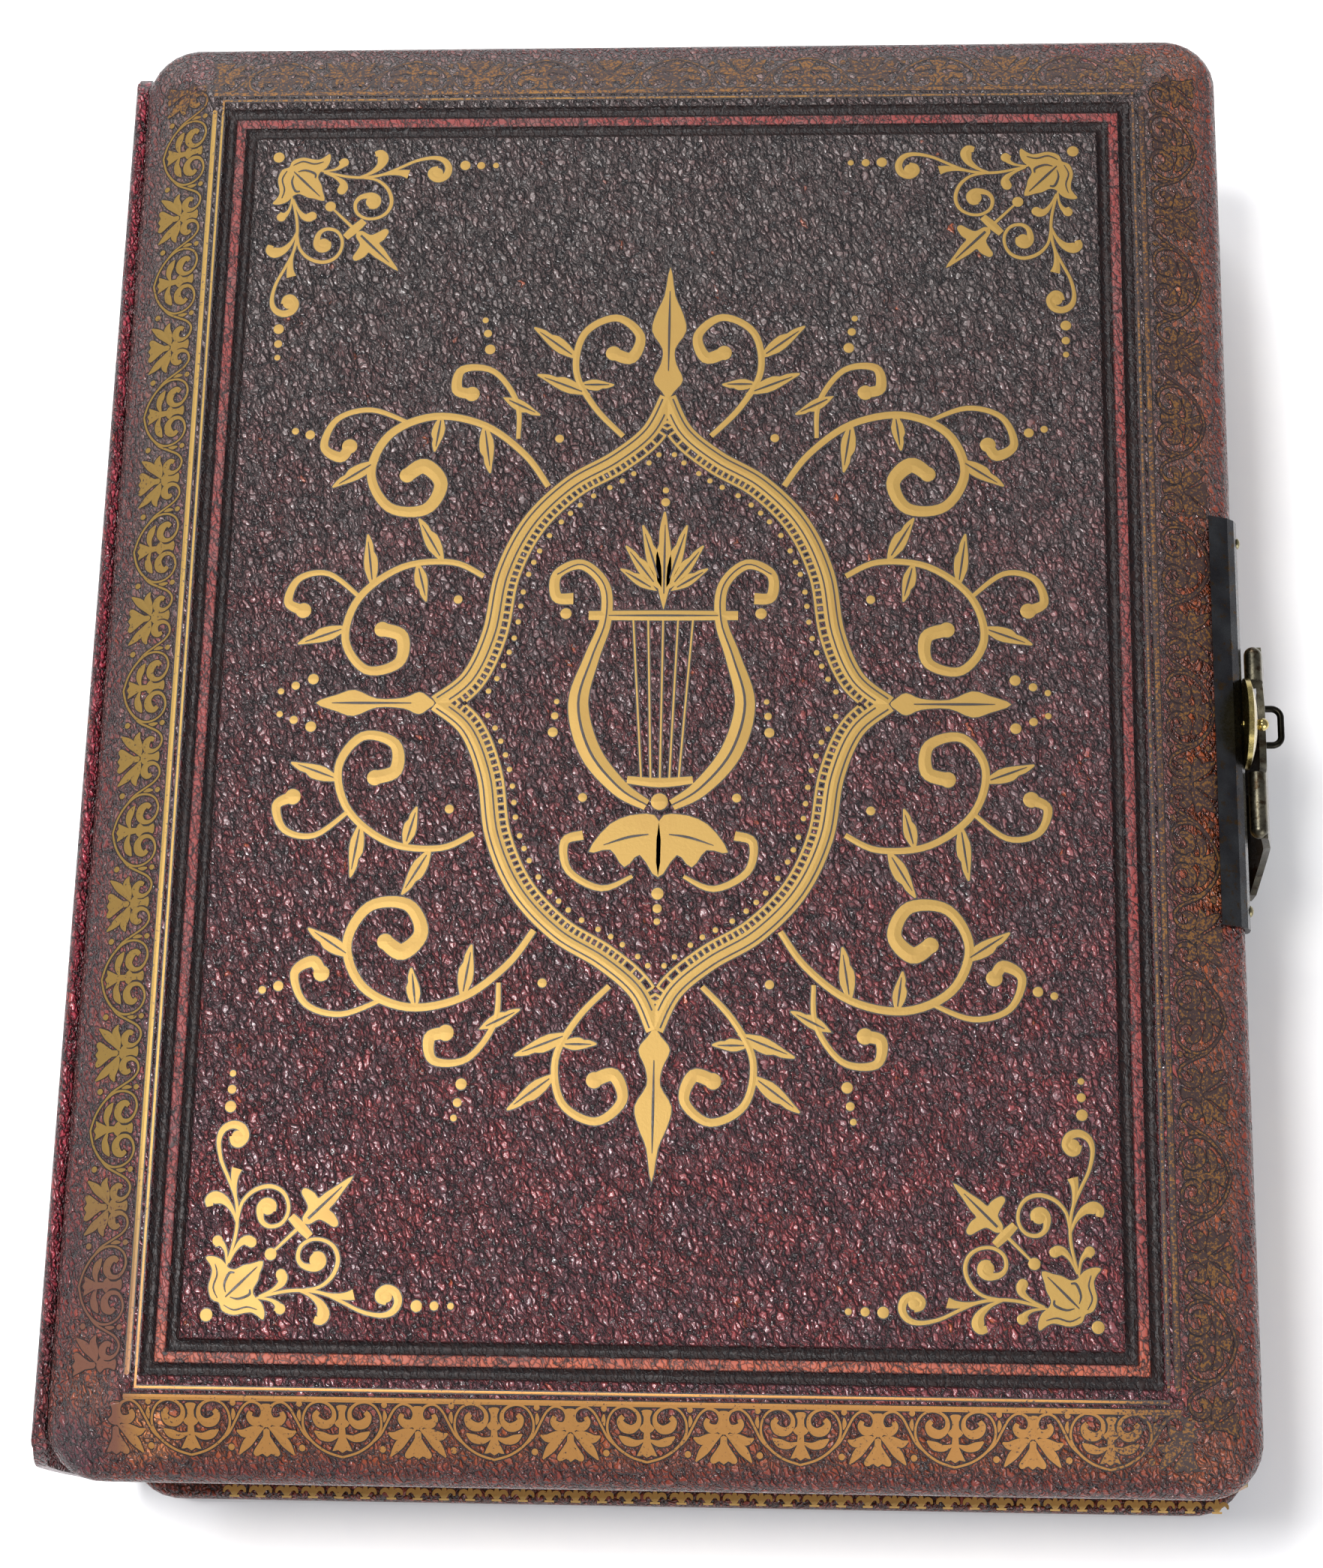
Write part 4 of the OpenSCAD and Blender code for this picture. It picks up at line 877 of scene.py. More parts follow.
@dataclass
class LeatherBoard:
    """One cover: its padded board with rounded rim, as a single leather skin."""

    node: str
    body: str
    finish: Morocco
    centre_x: float
    inner_z: float
    up: int
    grooved: bool = True
    shape: BoardShape = field(default_factory=BoardShape)
    columns: int = 92
    lines: int = 122
    slack: float = 0.3
    ease: float = 0.17

    def __post_init__(self) -> None:
        """Works out the rim's section once, a little lower than the solid's, so that gold lies within it."""
        full = self.shape.thickness - 3.2
        self.rows = [
            (inset, high - self.ease * max(0.0, high - 3.2) / full)
            for inset, high in self.shape.rings(self.grooved)
        ]
        self.section = [r for r in self.rows if r[1] > 3.2]

    def surface(self, x: float, y: float) -> float:
        """Gives the leather's height in the album's frame at a point.

        Args:
            x: across, from the board's centre.
            y: along, from the board's centre.

        Returns:
            Z in millimetres.
        """
        inset = self.shape.inset_of(x, y)
        high = self.height(inset) - self.sag(x, y, inset)
        return self.inner_z + self.up * high

    def height(self, inset: float) -> float:
        """Gives the surface's height above the inner face, seen from above.

        Args:
            inset: distance in from the board's edge.

        Returns:
            The height.
        """
        rows = self.section
        if inset >= rows[0][0]:
            return rows[0][1]
        for (near, high), (far, low) in zip(rows, rows[1:]):
            if far <= inset <= near:
                span = near - far
                return high if span < 1e-9 else low + (high - low) * (inset - far) / span
        return rows[-1][1]

    def sag(self, x: float, y: float, inset: float) -> float:
        """Gives how far the padding has sunk at a point of the rim."""
        if not 1.0 < inset < 18.0:
            return 0.0
        fade = min(1.0, (inset - 1.0) / 3.0, (18.0 - inset) / 3.0)
        lump = noise.noise(Vector((x / 31.0, y / 31.0, 3.0 * self.up)))
        return self.slack * fade * (0.5 + 0.5 * lump)

    def build(self) -> bpy.types.Object:
        """Builds the cover.

        Returns:
            The piece.
        """
        bm = bmesh.new()
        bmesh.ops.create_grid(bm, x_segments=self.columns, y_segments=self.lines, size=1.0)
        reach_x = max(v.co.x for v in bm.verts)
        reach_y = max(v.co.y for v in bm.verts)
        rings = self.rows
        home = bm.verts.layers.float_vector.new("home")
        for vert in bm.verts:
            u, v = vert.co.x / reach_x, vert.co.y / reach_y
            vert[home] = (u, v, 0.0)
            wide, tall = self.shape.half_x - rings[0][0], self.shape.half_y - rings[0][0]
            vert.co = (u * wide, v * tall, rings[0][1])
        edges = [e for e in bm.edges if e.is_boundary]
        for inset, height in rings[1:]:
            made = bmesh.ops.extrude_edge_only(bm, edges=edges)["geom"]
            edges = [g for g in made if isinstance(g, bmesh.types.BMEdge)]
            for vert in (g for g in made if isinstance(g, bmesh.types.BMVert)):
                x, y = self.shape.ring_point(vert[home].x, vert[home].y, inset)
                low = self.sag(x, y, inset) if height > 3.2 else 0.0
                vert.co = (x, y, height - low)
        bmesh.ops.contextual_create(bm, geom=edges)
        for vert in bm.verts:
            vert.co = (
                (vert.co.x + self.centre_x) * MM,
                vert.co.y * MM,
                (self.inner_z + self.up * vert.co.z) * MM,
            )
        if self.up < 0:
            bmesh.ops.reverse_faces(bm, faces=bm.faces)
        bmesh.ops.recalc_face_normals(bm, faces=bm.faces)
        obj = object_from(bm, f"{self.node}_leather", smooth=True)
        dress(obj, self.finish.make())
        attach(obj, self.body)
        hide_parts(self.node)
        LOG.info("%s: %d faces", obj.name, len(obj.data.polygons))
        return obj


def object_from(bm: bmesh.types.BMesh, name: str, smooth: bool = False) -> bpy.types.Object:
    """Makes an object of a bmesh and frees the bmesh.

    Args:
        bm: the mesh, in metres in the album's frame.
        name: the piece's name.
        smooth: whether its faces are shaded smooth.

    Returns:
        The object, linked to the scene.
    """
    mesh = bpy.data.meshes.new(name)
    bm.to_mesh(mesh)
    bm.free()
    for polygon in mesh.polygons:
        polygon.use_smooth = smooth
    obj = bpy.data.objects.new(name, mesh)
    bpy.context.scene.collection.objects.link(obj)
    return obj


def smooth_path(points: Sequence[Sequence[float]], steps: int = 5,
    closed: bool = False) -> list[tuple[float, ...]]:
    """Draws a smooth line through some points.

    Args:
        points: the points, each of any number of values.
        steps: pieces between two points.
        closed: whether the line ends where it starts.

    Returns:
        The line's points.
    """
    count = len(points)
    if count < 3:
        return [tuple(p) for p in points]
    line: list[tuple[float, ...]] = []
    for i in range(count if closed else count - 1):
        if closed:
            four = [points[(i + k) % count] for k in (-1, 0, 1, 2)]
        else:
            four = [points[min(max(i + k, 0), count - 1)] for k in (-1, 0, 1, 2)]
        for j in range(steps):
            t = j / steps
            line.append(
                tuple(
                    0.5
                    * (2 * b + (c - a) * t + (2 * a - 5 * b + 4 * c - d) * t**2
                        + (3 * b - a - 3 * c + d) * t**3)
                    for a, b, c, d in zip(*four)
                )
            )
    if not closed:
        line.append(tuple(points[-1]))
    return line


@dataclass
class Pattern:
    """Marks of the finisher's tools in a plane: strokes of changing width, solid leaves and dots."""

    DOT_STEPS = tuple(math.radians(a) for a in (4, 25, 50, 75, 90, 105, 130, 155, 176))

    strokes: list[Stroke] = field(default_factory=list)
    leaves: list[list[Point]] = field(default_factory=list)
    dots: list[tuple[float, float, float]] = field(default_factory=list)
    cuts: list[Stroke] = field(default_factory=list)

    def cut(self, points: Iterable[tuple[float, float, float]], steps: int = 4) -> None:
        """Adds a line that the tool leaves dark inside the gold, such as a leaf's vein."""
        self.cuts.append([(p[0], p[1], max(p[2], 0.05)) for p in smooth_path(list(points), steps)])

    def stroke(self, points: Iterable[tuple[float, float, float]], steps: int = 5) -> None:
        """Adds a stroke through points of place and width."""
        self.strokes.append([(p[0], p[1], max(p[2], 0.05)) for p in smooth_path(list(points), steps)])

    def leaf(self, points: Iterable[Point], steps: int = 4) -> None:
        """Adds a solid leaf with a smooth outline."""
        self.leaves.append([(p[0], p[1]) for p in smooth_path(list(points), steps, closed=True)])

    def dot(self, x: float, y: float, radius: float) -> None:
        """Adds a round dot."""
        self.dots.append((x, y, radius))

    def placed(self, move: Callable[[float, float], Point]) -> Pattern:
        """Copies the pattern to another place.

        Args:
            move: gives the new place of a point.

        Returns:
            The copy.
        """
        return Pattern(
            [[(*move(x, y), w) for x, y, w in s] for s in self.strokes],
            [[move(x, y) for x, y in outline] for outline in self.leaves],
            [(*move(x, y), r) for x, y, r in self.dots],
            [[(*move(x, y), w) for x, y, w in s] for s in self.cuts],
        )

    def add(self, *others: Pattern) -> None:
        """Adds other patterns to this one."""
        for other in others:
            self.strokes += other.strokes
            self.leaves += other.leaves
            self.dots += other.dots
            self.cuts += other.cuts

    def mirrored(self, across: bool = True, along: bool = False) -> Pattern:
        """Adds the pattern's mirror images to it.

        Args:
            across: whether it is mirrored from right to left.
            along: whether it is then mirrored from top to bottom.

        Returns:
            The whole pattern.
        """
        whole = self
        if across:
            whole = Pattern()
            whole.add(self, self.placed(lambda x, y: (-x, y)))
        if along:
            both = Pattern()
            both.add(whole, whole.placed(lambda x, y: (x, -y)))
            whole = both
        return whole

    def mesh(
        self, name: str, surface: Callable[[float, float], float], spread: float, lift: float, flat: float
    ) -> bpy.types.Object:
        """Lays the pattern on a surface.

        Args:
            name: the piece's name.
            surface: gives the height, in millimetres, under a point.
            spread: how much wider each mark is on every side.
            lift: how far the marks stand above the surface.
            flat: how thick a stroke is against its width.

        Returns:
            The piece, in metres.
        """
        bm = bmesh.new()
        for mesh in (self._stroke_mesh(spread), *(self._leaf_mesh(group, spread) for group in self._apart())):
            if mesh is not None:
                bm.from_mesh(mesh)
                bpy.data.meshes.remove(mesh)
        for vert in bm.verts:
            x, y, z = vert.co
            vert.co = (x, y, surface(x, y) + lift + max(-0.02, min(z * flat, 0.14)))
        bmesh.ops.scale(bm, vec=(MM, MM, MM), verts=bm.verts)
        return object_from(bm, name)

    def _stroke_mesh(self, spread: float) -> bpy.types.Mesh | None:
        """Makes the strokes as a curve's bevelled line, and returns its mesh."""
        if not self.strokes and not self.dots:
            return None
        curve = bpy.data.curves.new("strokes", "CURVE")
        curve.dimensions = "3D"
        curve.bevel_depth = 1.0
        curve.bevel_resolution = 0
        curve.use_fill_caps = True
        round_marks = [
            [(x - radius * math.cos(a), y, 2 * radius * math.sin(a)) for a in self.DOT_STEPS]
            for x, y, radius in self.dots
        ]
        for points in self.strokes + round_marks:
            spline = curve.splines.new("POLY")
            spline.points.add(len(points) - 1)
            for point, (x, y, width) in zip(spline.points, points):
                point.co = (x, y, 0.0, 1.0)
                point.radius = width / 2 + spread
        return mesh_of_curve(curve)

    def _apart(self) -> list[list[list[Point]]]:
        """Sorts the leaves into groups whose boxes stay clear of each other, as a filled curve needs.

        Returns:
            The groups of outlines.
        """
        groups: list[tuple[list[list[Point]], list[tuple[float, ...]]]] = []
        for outline in self.leaves:
            xs, ys = [p[0] for p in outline], [p[1] for p in outline]
            box = (min(xs) - 1, min(ys) - 1, max(xs) + 1, max(ys) + 1)
            for leaves, boxes in groups:
                if all(box[2] < b[0] or b[2] < box[0] or box[3] < b[1] or b[3] < box[1] for b in boxes):
                    leaves.append(outline)
                    boxes.append(box)
                    break
            else:
                groups.append(([outline], [box]))
        return [leaves for leaves, _ in groups]

    @staticmethod
    def _leaf_mesh(outlines: list[list[Point]], spread: float) -> bpy.types.Mesh:
        """Makes leaves as a filled curve with a small bevel, and returns its mesh."""
        curve = bpy.data.curves.new("leaves", "CURVE")
        curve.dimensions = "2D"
        curve.fill_mode = "BOTH"
        curve.extrude = 0.02
        curve.bevel_depth = 0.12 + spread
        curve.bevel_resolution = 0
        for outline in outlines:
            spline = curve.splines.new("POLY")
            spline.points.add(len(outline) - 1)
            for point, (x, y) in zip(spline.points, outline):
                point.co = (x, y, 0.0, 1.0)
            spline.use_cyclic_u = True
        return mesh_of_curve(curve)


def mesh_of_curve(curve: bpy.types.Curve) -> bpy.types.Mesh:
    """Turns a curve to a mesh.

    Args:
        curve: the curve, which is removed.

    Returns:
        Its mesh.
    """
    holder = bpy.data.objects.new("holder", curve)
    bpy.context.scene.collection.objects.link(holder)
    graph = bpy.context.evaluated_depsgraph_get()
    mesh = bpy.data.meshes.new_from_object(holder.evaluated_get(graph))
    bpy.data.objects.remove(holder)
    bpy.data.curves.remove(curve)
    return mesh


class Side(Enum):
    """The four sides of a cover, by the direction from its middle."""

    SPINE = (-1, 0)
    FORE = (1, 0)
    HEAD = (0, 1)
    TAIL = (0, -1)


@dataclass
class ScrollRoll:
    """The roll tool's traditional scroll border: vine loops with volutes, and palmettes between them."""

    inner_inset: float = 15.3
    band: float = 10.3
    tool_band: float = 10.1

    def unit(self, period: float, last: bool = False) -> Pattern:
        """Draws one turn of the roll.

        Args:
            period: length of the turn along the border.
            last: whether the turn also draws the palmette's stem at its end, which else the next turn draws.

        Returns:
            The turn, with x along the border from the loop's middle and y outwards from the inner line.
        """
        half = Pattern()
        half.stroke(
            [
                (0.0, 10.2, 0.4), (3.0, 9.3, 0.42), (5.6, 7.6, 0.45), (7.2, 5.4, 0.45), (7.3, 3.2, 0.42),
                (6.3, 1.4, 0.4), (4.6, 0.6, 0.42), (2.8, 0.9, 0.5), (1.6, 2.0, 0.7), (1.6, 3.5, 1.0),
                (2.8, 4.5, 1.5), (4.3, 4.2, 1.7), (5.0, 3.1, 1.2), (4.4, 2.3, 0.9),
            ]
        )
        half.stroke([(0.6, 6.4, 0.4), (2.2, 6.9, 1.2), (3.9, 6.5, 1.5), (5.2, 5.7, 0.3)], 4)
        mid = period / 2
        half.stroke(
            [
                (5.4, 7.8, 0.3), (7.2, 6.2, 0.4), (8.6, 3.8, 0.42), (9.8, 1.8, 0.42), (11.3, 0.8, 0.42),
                (12.9, 1.2, 0.5), (13.7, 2.5, 0.8), (13.3, 3.9, 1.3), (12.0, 4.2, 1.6), (11.1, 3.4, 1.2),
                (11.4, 2.5, 0.8),
            ]
        )
        half.stroke([(mid - 0.4, 5.0, 0.4), (mid - 1.7, 6.2, 0.9), (mid - 3.6, 7.9, 1.7),
            (mid - 5.2, 9.9, 0.3)], 4)
        half.stroke([(mid - 1.0, 5.2, 0.4), (mid - 2.6, 5.6, 1.2), (mid - 4.2, 6.3, 1.5),
            (mid - 5.6, 5.8, 0.3)], 4)
        half.stroke([(mid - 0.2, 6.4, 0.4), (mid - 0.9, 8.0, 1.0), (mid - 1.9, 9.7, 1.3),
            (mid - 2.1, 10.2, 0.3)], 4)
        half.dot(7.6, 8.7, 0.6)
        half.dot(8.0, 1.0, 0.55)
        half.stroke([(8.0, 2.0, 0.3), (8.1, 3.0, 0.8), (7.9, 4.0, 0.2)], 3)
        whole = half.mirrored()
        bell = [(0.45, 5.2), (0.6, 6.9), (1.7, 9.0), (0.8, 8.8)]
        cup = [(0.5, 5.0), (1.3, 4.3), (0.6, 3.6), (0.5, 2.3), (0.9, 1.4)]
        stems = [(0.0, 9.3), (-mid, 10.2), (mid, 10.2)]
        for at, foot in stems if last else stems[:2]:
            fan = [(x, y * foot / 9.3) for x, y in bell]
            for side, end in ((fan, (0.0, foot)), (cup, (0.0, 1.2))):
                left = [(at - x, y) for x, y in reversed(side)]
                whole.leaf([*[(at + x, y) for x, y in side], (at + end[0], end[1]), *left], 2)
        return whole

    def along(self, side: Side, board: LeatherBoard, turns: int, start: float, end: float) -> Pattern:
        """Rolls the tool along one side.

        Args:
            side: the side of the cover.
            board: the cover.
            turns: how many turns of the roll fit.
            start: where the roll starts along the side, from its middle.
            end: where it ends.

        Returns:
            The border on the cover, from its centre.
        """
        period = (end - start) / turns
        units = (self.unit(period), self.unit(period, last=True))
        sign_x, sign_y = side.value
        reach = board.shape.half_x if sign_x else board.shape.half_y
        whole = Pattern()
        for turn in range(turns):
            middle = start + period * (turn + 0.5)

            def move(s: float, t: float, middle: float = middle) -> Point:
                """Places a point of the roll on the cover."""
                out = reach - self.inner_inset + t * self.band / self.tool_band
                run = middle + s
                return (sign_x * out, run) if sign_x else (run, sign_y * out)

            whole.add(units[turn == turns - 1].placed(move))
        return whole


@dataclass
class CornerPiece:
    """The traditional corner ornament: a lily head, two scrolled stems with dots, and a leaf."""

    unit_mm: float = 1 / 28.2
    origin: Point = (73.0, 128.0)
    fullness: float = 1.3

    def draw(self) -> Pattern:
        """Draws the ornament.

        Returns:
            The ornament, with x along one side and y along the other, both inwards from the corner's dot.
        """
        half = Pattern()
        raw: list[list[tuple[float, float, float]]] = [
            [
                (335, 218, 9), (400, 238, 11), (500, 260, 13), (600, 264, 13), (700, 248, 13), (800, 205, 13),
                (900, 158, 14), (1000, 138, 18), (1065, 155, 26), (1096, 205, 32), (1082, 258, 34),
                (1033, 278, 36), (995, 252, 34), (1000, 222, 30), (1034, 215, 34),
            ],
            [(345, 222, 8), (412, 212, 12), (452, 188, 24), (462, 160, 44)],
            [(350, 230, 8), (420, 262, 14), (466, 300, 30), (468, 335, 46), (448, 348, 30)],
            [(560, 264, 8), (630, 236, 16), (684, 190, 34), (700, 140, 52), (684, 108, 40), (652, 112, 26)],
            [(640, 262, 8), (740, 240, 16), (812, 236, 30), (858, 246, 44)],
            [
                (590, 268, 9), (672, 284, 13), (736, 340, 16), (764, 420, 17), (744, 490, 16), (690, 530, 14),
                (620, 536, 14), (562, 500, 15), (548, 440, 17), (578, 396, 22), (640, 386, 34),
                (672, 412, 44), (662, 444, 44), (630, 446, 34),
            ],
        ]
        for points in raw:
            half.stroke([self._mm(x, y, w * self.fullness) for x, y, w in points], 4)
        for x, y, radius in ((1195, 190, 31), (1290, 192, 24), (1378, 192, 18)):
            px, py, _ = self._mm(x, y, 0)
            half.dot(px, py, radius * self.unit_mm)
        for x, y, radius in ((34.0, 3.9, 1.15), (20.4, 10.6, 1.35), (14.0, 1.3, 1.0), (13.8, 7.8, 1.0)):
            half.dot(x, y, radius)
        whole = Pattern()
        whole.add(half, half.placed(lambda x, y: (y, x)))
        whole.dot(0.0, 0.0, 1.2)
        petal = [
            (3.1, 0.9), (5.2, 0.2), (7.2, 0.6), (8.6, 0.7), (9.8, 0.1), (10.8, -0.6), (10.9, 0.8),
            (10.2, 2.4), (8.9, 3.5), (8.5, 4.9), (9.3, 6.6), (9.6, 8.0),
        ]
        whole.leaf([(2.4, 2.4), *petal, (10.1, 10.1), *[(y, x) for x, y in reversed(petal)]], 3)
        for side in (lambda x, y: (x, y), lambda x, y: (y, x)):
            lines = Pattern()
            lines.cut([(3.2, 1.9, 0.15), (5.2, 1.0, 0.3), (7.6, 1.6, 0.3), (9.6, 1.1, 0.15)])
            lines.cut([(4.3, 3.4, 0.15), (5.9, 3.1, 0.42), (7.9, 3.9, 0.5), (8.0, 4.9, 0.3)])
            whole.add(lines.placed(side))
        whole.cut([(3.4, 3.4, 0.2), (5.4, 5.4, 0.5), (7.6, 7.6, 0.35), (9.2, 9.2, 0.15)])
        seed = 11.6
        whole.dot(seed, seed, 1.15)
        whole.stroke([(seed + 0.8, seed + 0.8, 0.45), (14.6, 14.6, 0.6), (19.0, 19.0, 0.7)], 3)
        whole.stroke([(18.9, 15.0, 1.5), (17.0, 16.9, 1.9), (15.1, 18.8, 1.5)], 3)
        blade = [
            (18.7, 17.5), (20.4, 18.4), (22.0, 17.8), (23.4, 17.0), (24.1, 17.6), (23.2, 19.3), (22.2, 20.2),
            (23.3, 21.6), (24.6, 23.6),
        ]
        whole.leaf([(17.7, 17.7), *blade, (26.4, 26.4), *[(y, x) for x, y in reversed(blade)]], 3)
        whole.cut([(18.4, 18.4, 0.5), (21.0, 21.0, 0.5), (24.6, 24.6, 0.15)])
        return whole

    def _mm(self, x: float, y: float, width: float) -> tuple[float, float, float]:
        """Turns a point of the drawing to millimetres from the corner's dot."""
        return (
            (x - self.origin[0]) * self.unit_mm,
            (y - self.origin[1]) * self.unit_mm,
            width * self.unit_mm,
        )


@dataclass
class CentrePiece:
    """A centre in the binder's strapwork style: a lyre in a pointed frame, with leafy scrolls round it.

    The gold lies solid, with hatched edges, dark veins and a worn stipple, as the corner pieces' does.
    """

    hatch_pitch: float = 1.15
    frame_line: float = 3.4

    def draw(self) -> Pattern:
        """Draws the centre.

        Returns:
            The centre, from the cover's middle.
        """
        whole = Pattern()
        whole.add(self._frame(), self._scrolls(), self._lyre())
        return whole

    def _frame(self) -> Pattern:
        """Draws the pointed strap with its hatched inner edge and beads."""
        quarter = Pattern()
        path = smooth_path(
            [(0.0, 66.0), (3.6, 58.5), (10.5, 52.5), (19.5, 47.0), (27.5, 38.5), (32.5, 27.5), (34.6, 15.0),
                (38.6, 5.4), (45.0, 0.0)],
            8,
        )
        quarter.strokes.append([(x, y, self.frame_line) for x, y in path])
        walk, last = 0.0, path[0]
        for here, ahead in zip(path[1:], path[2:]):
            walk += math.dist(last, here)
            last = here
            run = math.dist(here, ahead) or 1.0
            tx, ty = (ahead[0] - here[0]) / run, (ahead[1] - here[1]) / run
            if walk >= self.hatch_pitch:
                walk = 0.0
                near, far = self.frame_line / 2 - 0.15, self.frame_line / 2 + 1.25
                quarter.strokes.append([(here[0] + ty * d, here[1] - tx * d, 0.5) for d in (near, far)])
        inner = self._beside(path, -(self.frame_line / 2 + 1.45))
        quarter.strokes.append([(x, y, 0.5) for x, y in inner if x > 0.2 and y > 0.2])
        quarter.cuts.append([(x, y, 0.32) for x, y in self._beside(path, 0.85) if x > 0.2 and y > 0.2])
        quarter.cuts.append([(x, y, 0.32) for x, y in self._beside(path, -0.85) if x > 0.2 and y > 0.2])
        beads = self._beside(path, -(self.frame_line / 2 + 3.2))
        walk, last = 0.0, beads[0]
        for x, y in beads:
            walk += math.dist(last, (x, y))
            last = (x, y)
            if walk >= 2.6 and x > 1.5 and y > 1.0:
                walk = 0.0
                quarter.dot(x, y, 0.55)
        return quarter.mirrored(True, True)

    @staticmethod
    def _beside(path: list[tuple[float, ...]], away: float) -> list[Point]:
        """Draws a line beside another.

        Args:
            path: the line.
            away: how far to its left.

        Returns:
            The new line.
        """
        line = []
        for before, here, ahead in zip(path, path[1:], path[2:]):
            run = math.dist(before, ahead) or 1.0
            tx, ty = (ahead[0] - before[0]) / run, (ahead[1] - before[1]) / run
            line.append((here[0] - ty * away, here[1] + tx * away))
        return line

    def _scrolls(self) -> Pattern:
        """Draws the leafy scrolls outside the frame, a quarter at a time."""
        quarter = Pattern()
        stems = (
            [(24.0, 46.5, 1.0), (29.0, 53.5, 1.1), (37.5, 60.0, 1.2), (48.0, 62.0, 1.3), (57.0, 58.0, 1.4),
                (60.5, 49.5, 1.5), (56.5, 42.0, 1.7), (49.0, 41.5, 2.0), (46.0, 47.0, 2.3), (49.5, 51.0, 2.7),
                (53.0, 49.0, 2.4)],
            [(9.0, 57.5, 0.9), (15.0, 64.0, 1.0), (19.0, 72.0, 1.1), (17.5, 80.5, 1.2), (11.0, 84.0, 1.3),
                (6.0, 80.0, 1.6), (7.6, 75.0, 2.1), (11.4, 76.0, 2.2)],
            [(36.5, 27.0, 0.9), (43.0, 30.0, 1.0), (53.0, 29.0, 1.1), (61.5, 22.5, 1.2), (64.0, 13.5, 1.3),
                (59.5, 7.0, 1.5), (53.0, 8.5, 1.8), (52.5, 14.0, 2.2), (56.6, 15.6, 2.3)],
            [(30.5, 57.0, 0.7), (31.0, 65.0, 0.9), (36.0, 72.0, 1.0), (42.5, 72.5, 1.4), (43.5, 68.0, 1.9),
                (40.4, 67.0, 1.9)],
            [(53.0, 60.5, 0.7), (61.0, 63.5, 0.9), (68.0, 61.5, 1.0), (70.5, 55.5, 1.4), (67.0, 53.0, 1.9),
                (65.2, 55.4, 1.7)],
            [(61.5, 22.5, 0.7), (68.0, 27.5, 0.9), (74.0, 26.5, 1.1), (76.0, 21.5, 1.5), (72.8, 19.6, 1.9)],
        )
        for stem in stems:
            quarter.stroke([(x, y, w * 1.2) for x, y, w in stem], 6)
            quarter.dot(stem[-1][0], stem[-1][1], 1.6)
        for root, tip, wide in (
            ((37.5, 60.0), (36.0, 50.0), 3.0),
            ((46.5, 62.0), (47.5, 54.6), 2.6),
            ((59.6, 52.0), (67.8, 46.6), 3.0),
            ((16.5, 67.0), (26.5, 71.0), 3.0),
            ((19.0, 75.0), (27.6, 81.5), 3.0),
            ((18.0, 69.0), (11.5, 69.0), 2.4),
            ((45.0, 30.4), (50.0, 39.0), 3.0),
            ((50.0, 29.6), (48.0, 22.0), 2.6),
            ((63.8, 16.0), (73.0, 12.6), 3.0),
            ((59.0, 25.0), (60.5, 35.5), 2.8),
            ((33.5, 66.0), (26.5, 62.5), 2.4),
        ):
            self._leaflet(quarter, root, tip, wide)
        for x, y, radius in (
            (37.0, 77.0, 1.1),
            (37.6, 80.6, 0.85),
            (38.2, 83.6, 0.65),
            (73.5, 58.0, 1.0),
            (76.6, 58.8, 0.75),
            (70.0, 5.0, 1.1),
            (73.5, 3.6, 0.85),
            (76.4, 2.4, 0.65),
            (41.5, 22.0, 0.9),
            (22.0, 57.0, 0.9),
        ):
            quarter.dot(x, y, radius)
        bud = [(1.2, 67.5), (2.9, 70.0), (1.5, 73.5), (1.2, 77.0), (3.4, 81.0), (2.6, 85.0), (1.0, 89.0)]
        side = [(46.5, 1.0), (48.5, 2.2), (51.5, 1.0), (57.0, 0.8), (61.5, 2.6), (65.0, 1.6)]
        whole = quarter.mirrored(True, True)
        for sign in (-1, 1):
            whole.leaf(
                [(0.0, sign * 66.0), *[(x, sign * y) for x, y in bud], (0.0, sign * 95.0),
                    *[(-x, sign * y) for x, y in reversed(bud)]],
                3,
            )
            whole.cut([(0.0, sign * 72.0, 0.2), (0.0, sign * 82.0, 0.5), (0.0, sign * 90.0, 0.15)])
            whole.leaf(
                [(sign * 45.5, 0.0), *[(sign * x, y) for x, y in side], (sign * 69.0, 0.0),
                    *[(sign * x, -y) for x, y in reversed(side)]],
                3,
            )
            whole.cut([(sign * 50.0, 0.0, 0.2), (sign * 60.0, 0.0, 0.5), (sign * 66.0, 0.0, 0.15)])
        return whole

    @staticmethod
    def _leaflet(pattern: Pattern, root: Point, tip: Point, wide: float) -> None:
        """Adds a pointed leaf with a dark vein.

        Args:
            pattern: what it is added to.
            root: where it leaves the stem.
            tip: its point.
            wide: its greatest width.
        """
        dx, dy = tip[0] - root[0], tip[1] - root[1]
        run = math.hypot(dx, dy)
        nx, ny = -dy / run * wide, dx / run * wide
        outline = [
            (root[0] + dx * t + nx * w, root[1] + dy * t + ny * w)
            for t, w in ((0.0, 0.06), (0.28, 0.42), (0.55, 0.5), (0.68, 0.3), (0.82, 0.3), (1.0, 0.12),
                (1.04, 0.0), (0.86, -0.14), (0.62, -0.34), (0.34, -0.42), (0.0, -0.06))
        ]
        pattern.leaf(outline, 2)
        vein = ((0.12, 0.2), (0.5, 0.42), (0.9, 0.12))
        pattern.cut([(root[0] + dx * t, root[1] + dy * t, w) for t, w in vein], 3)

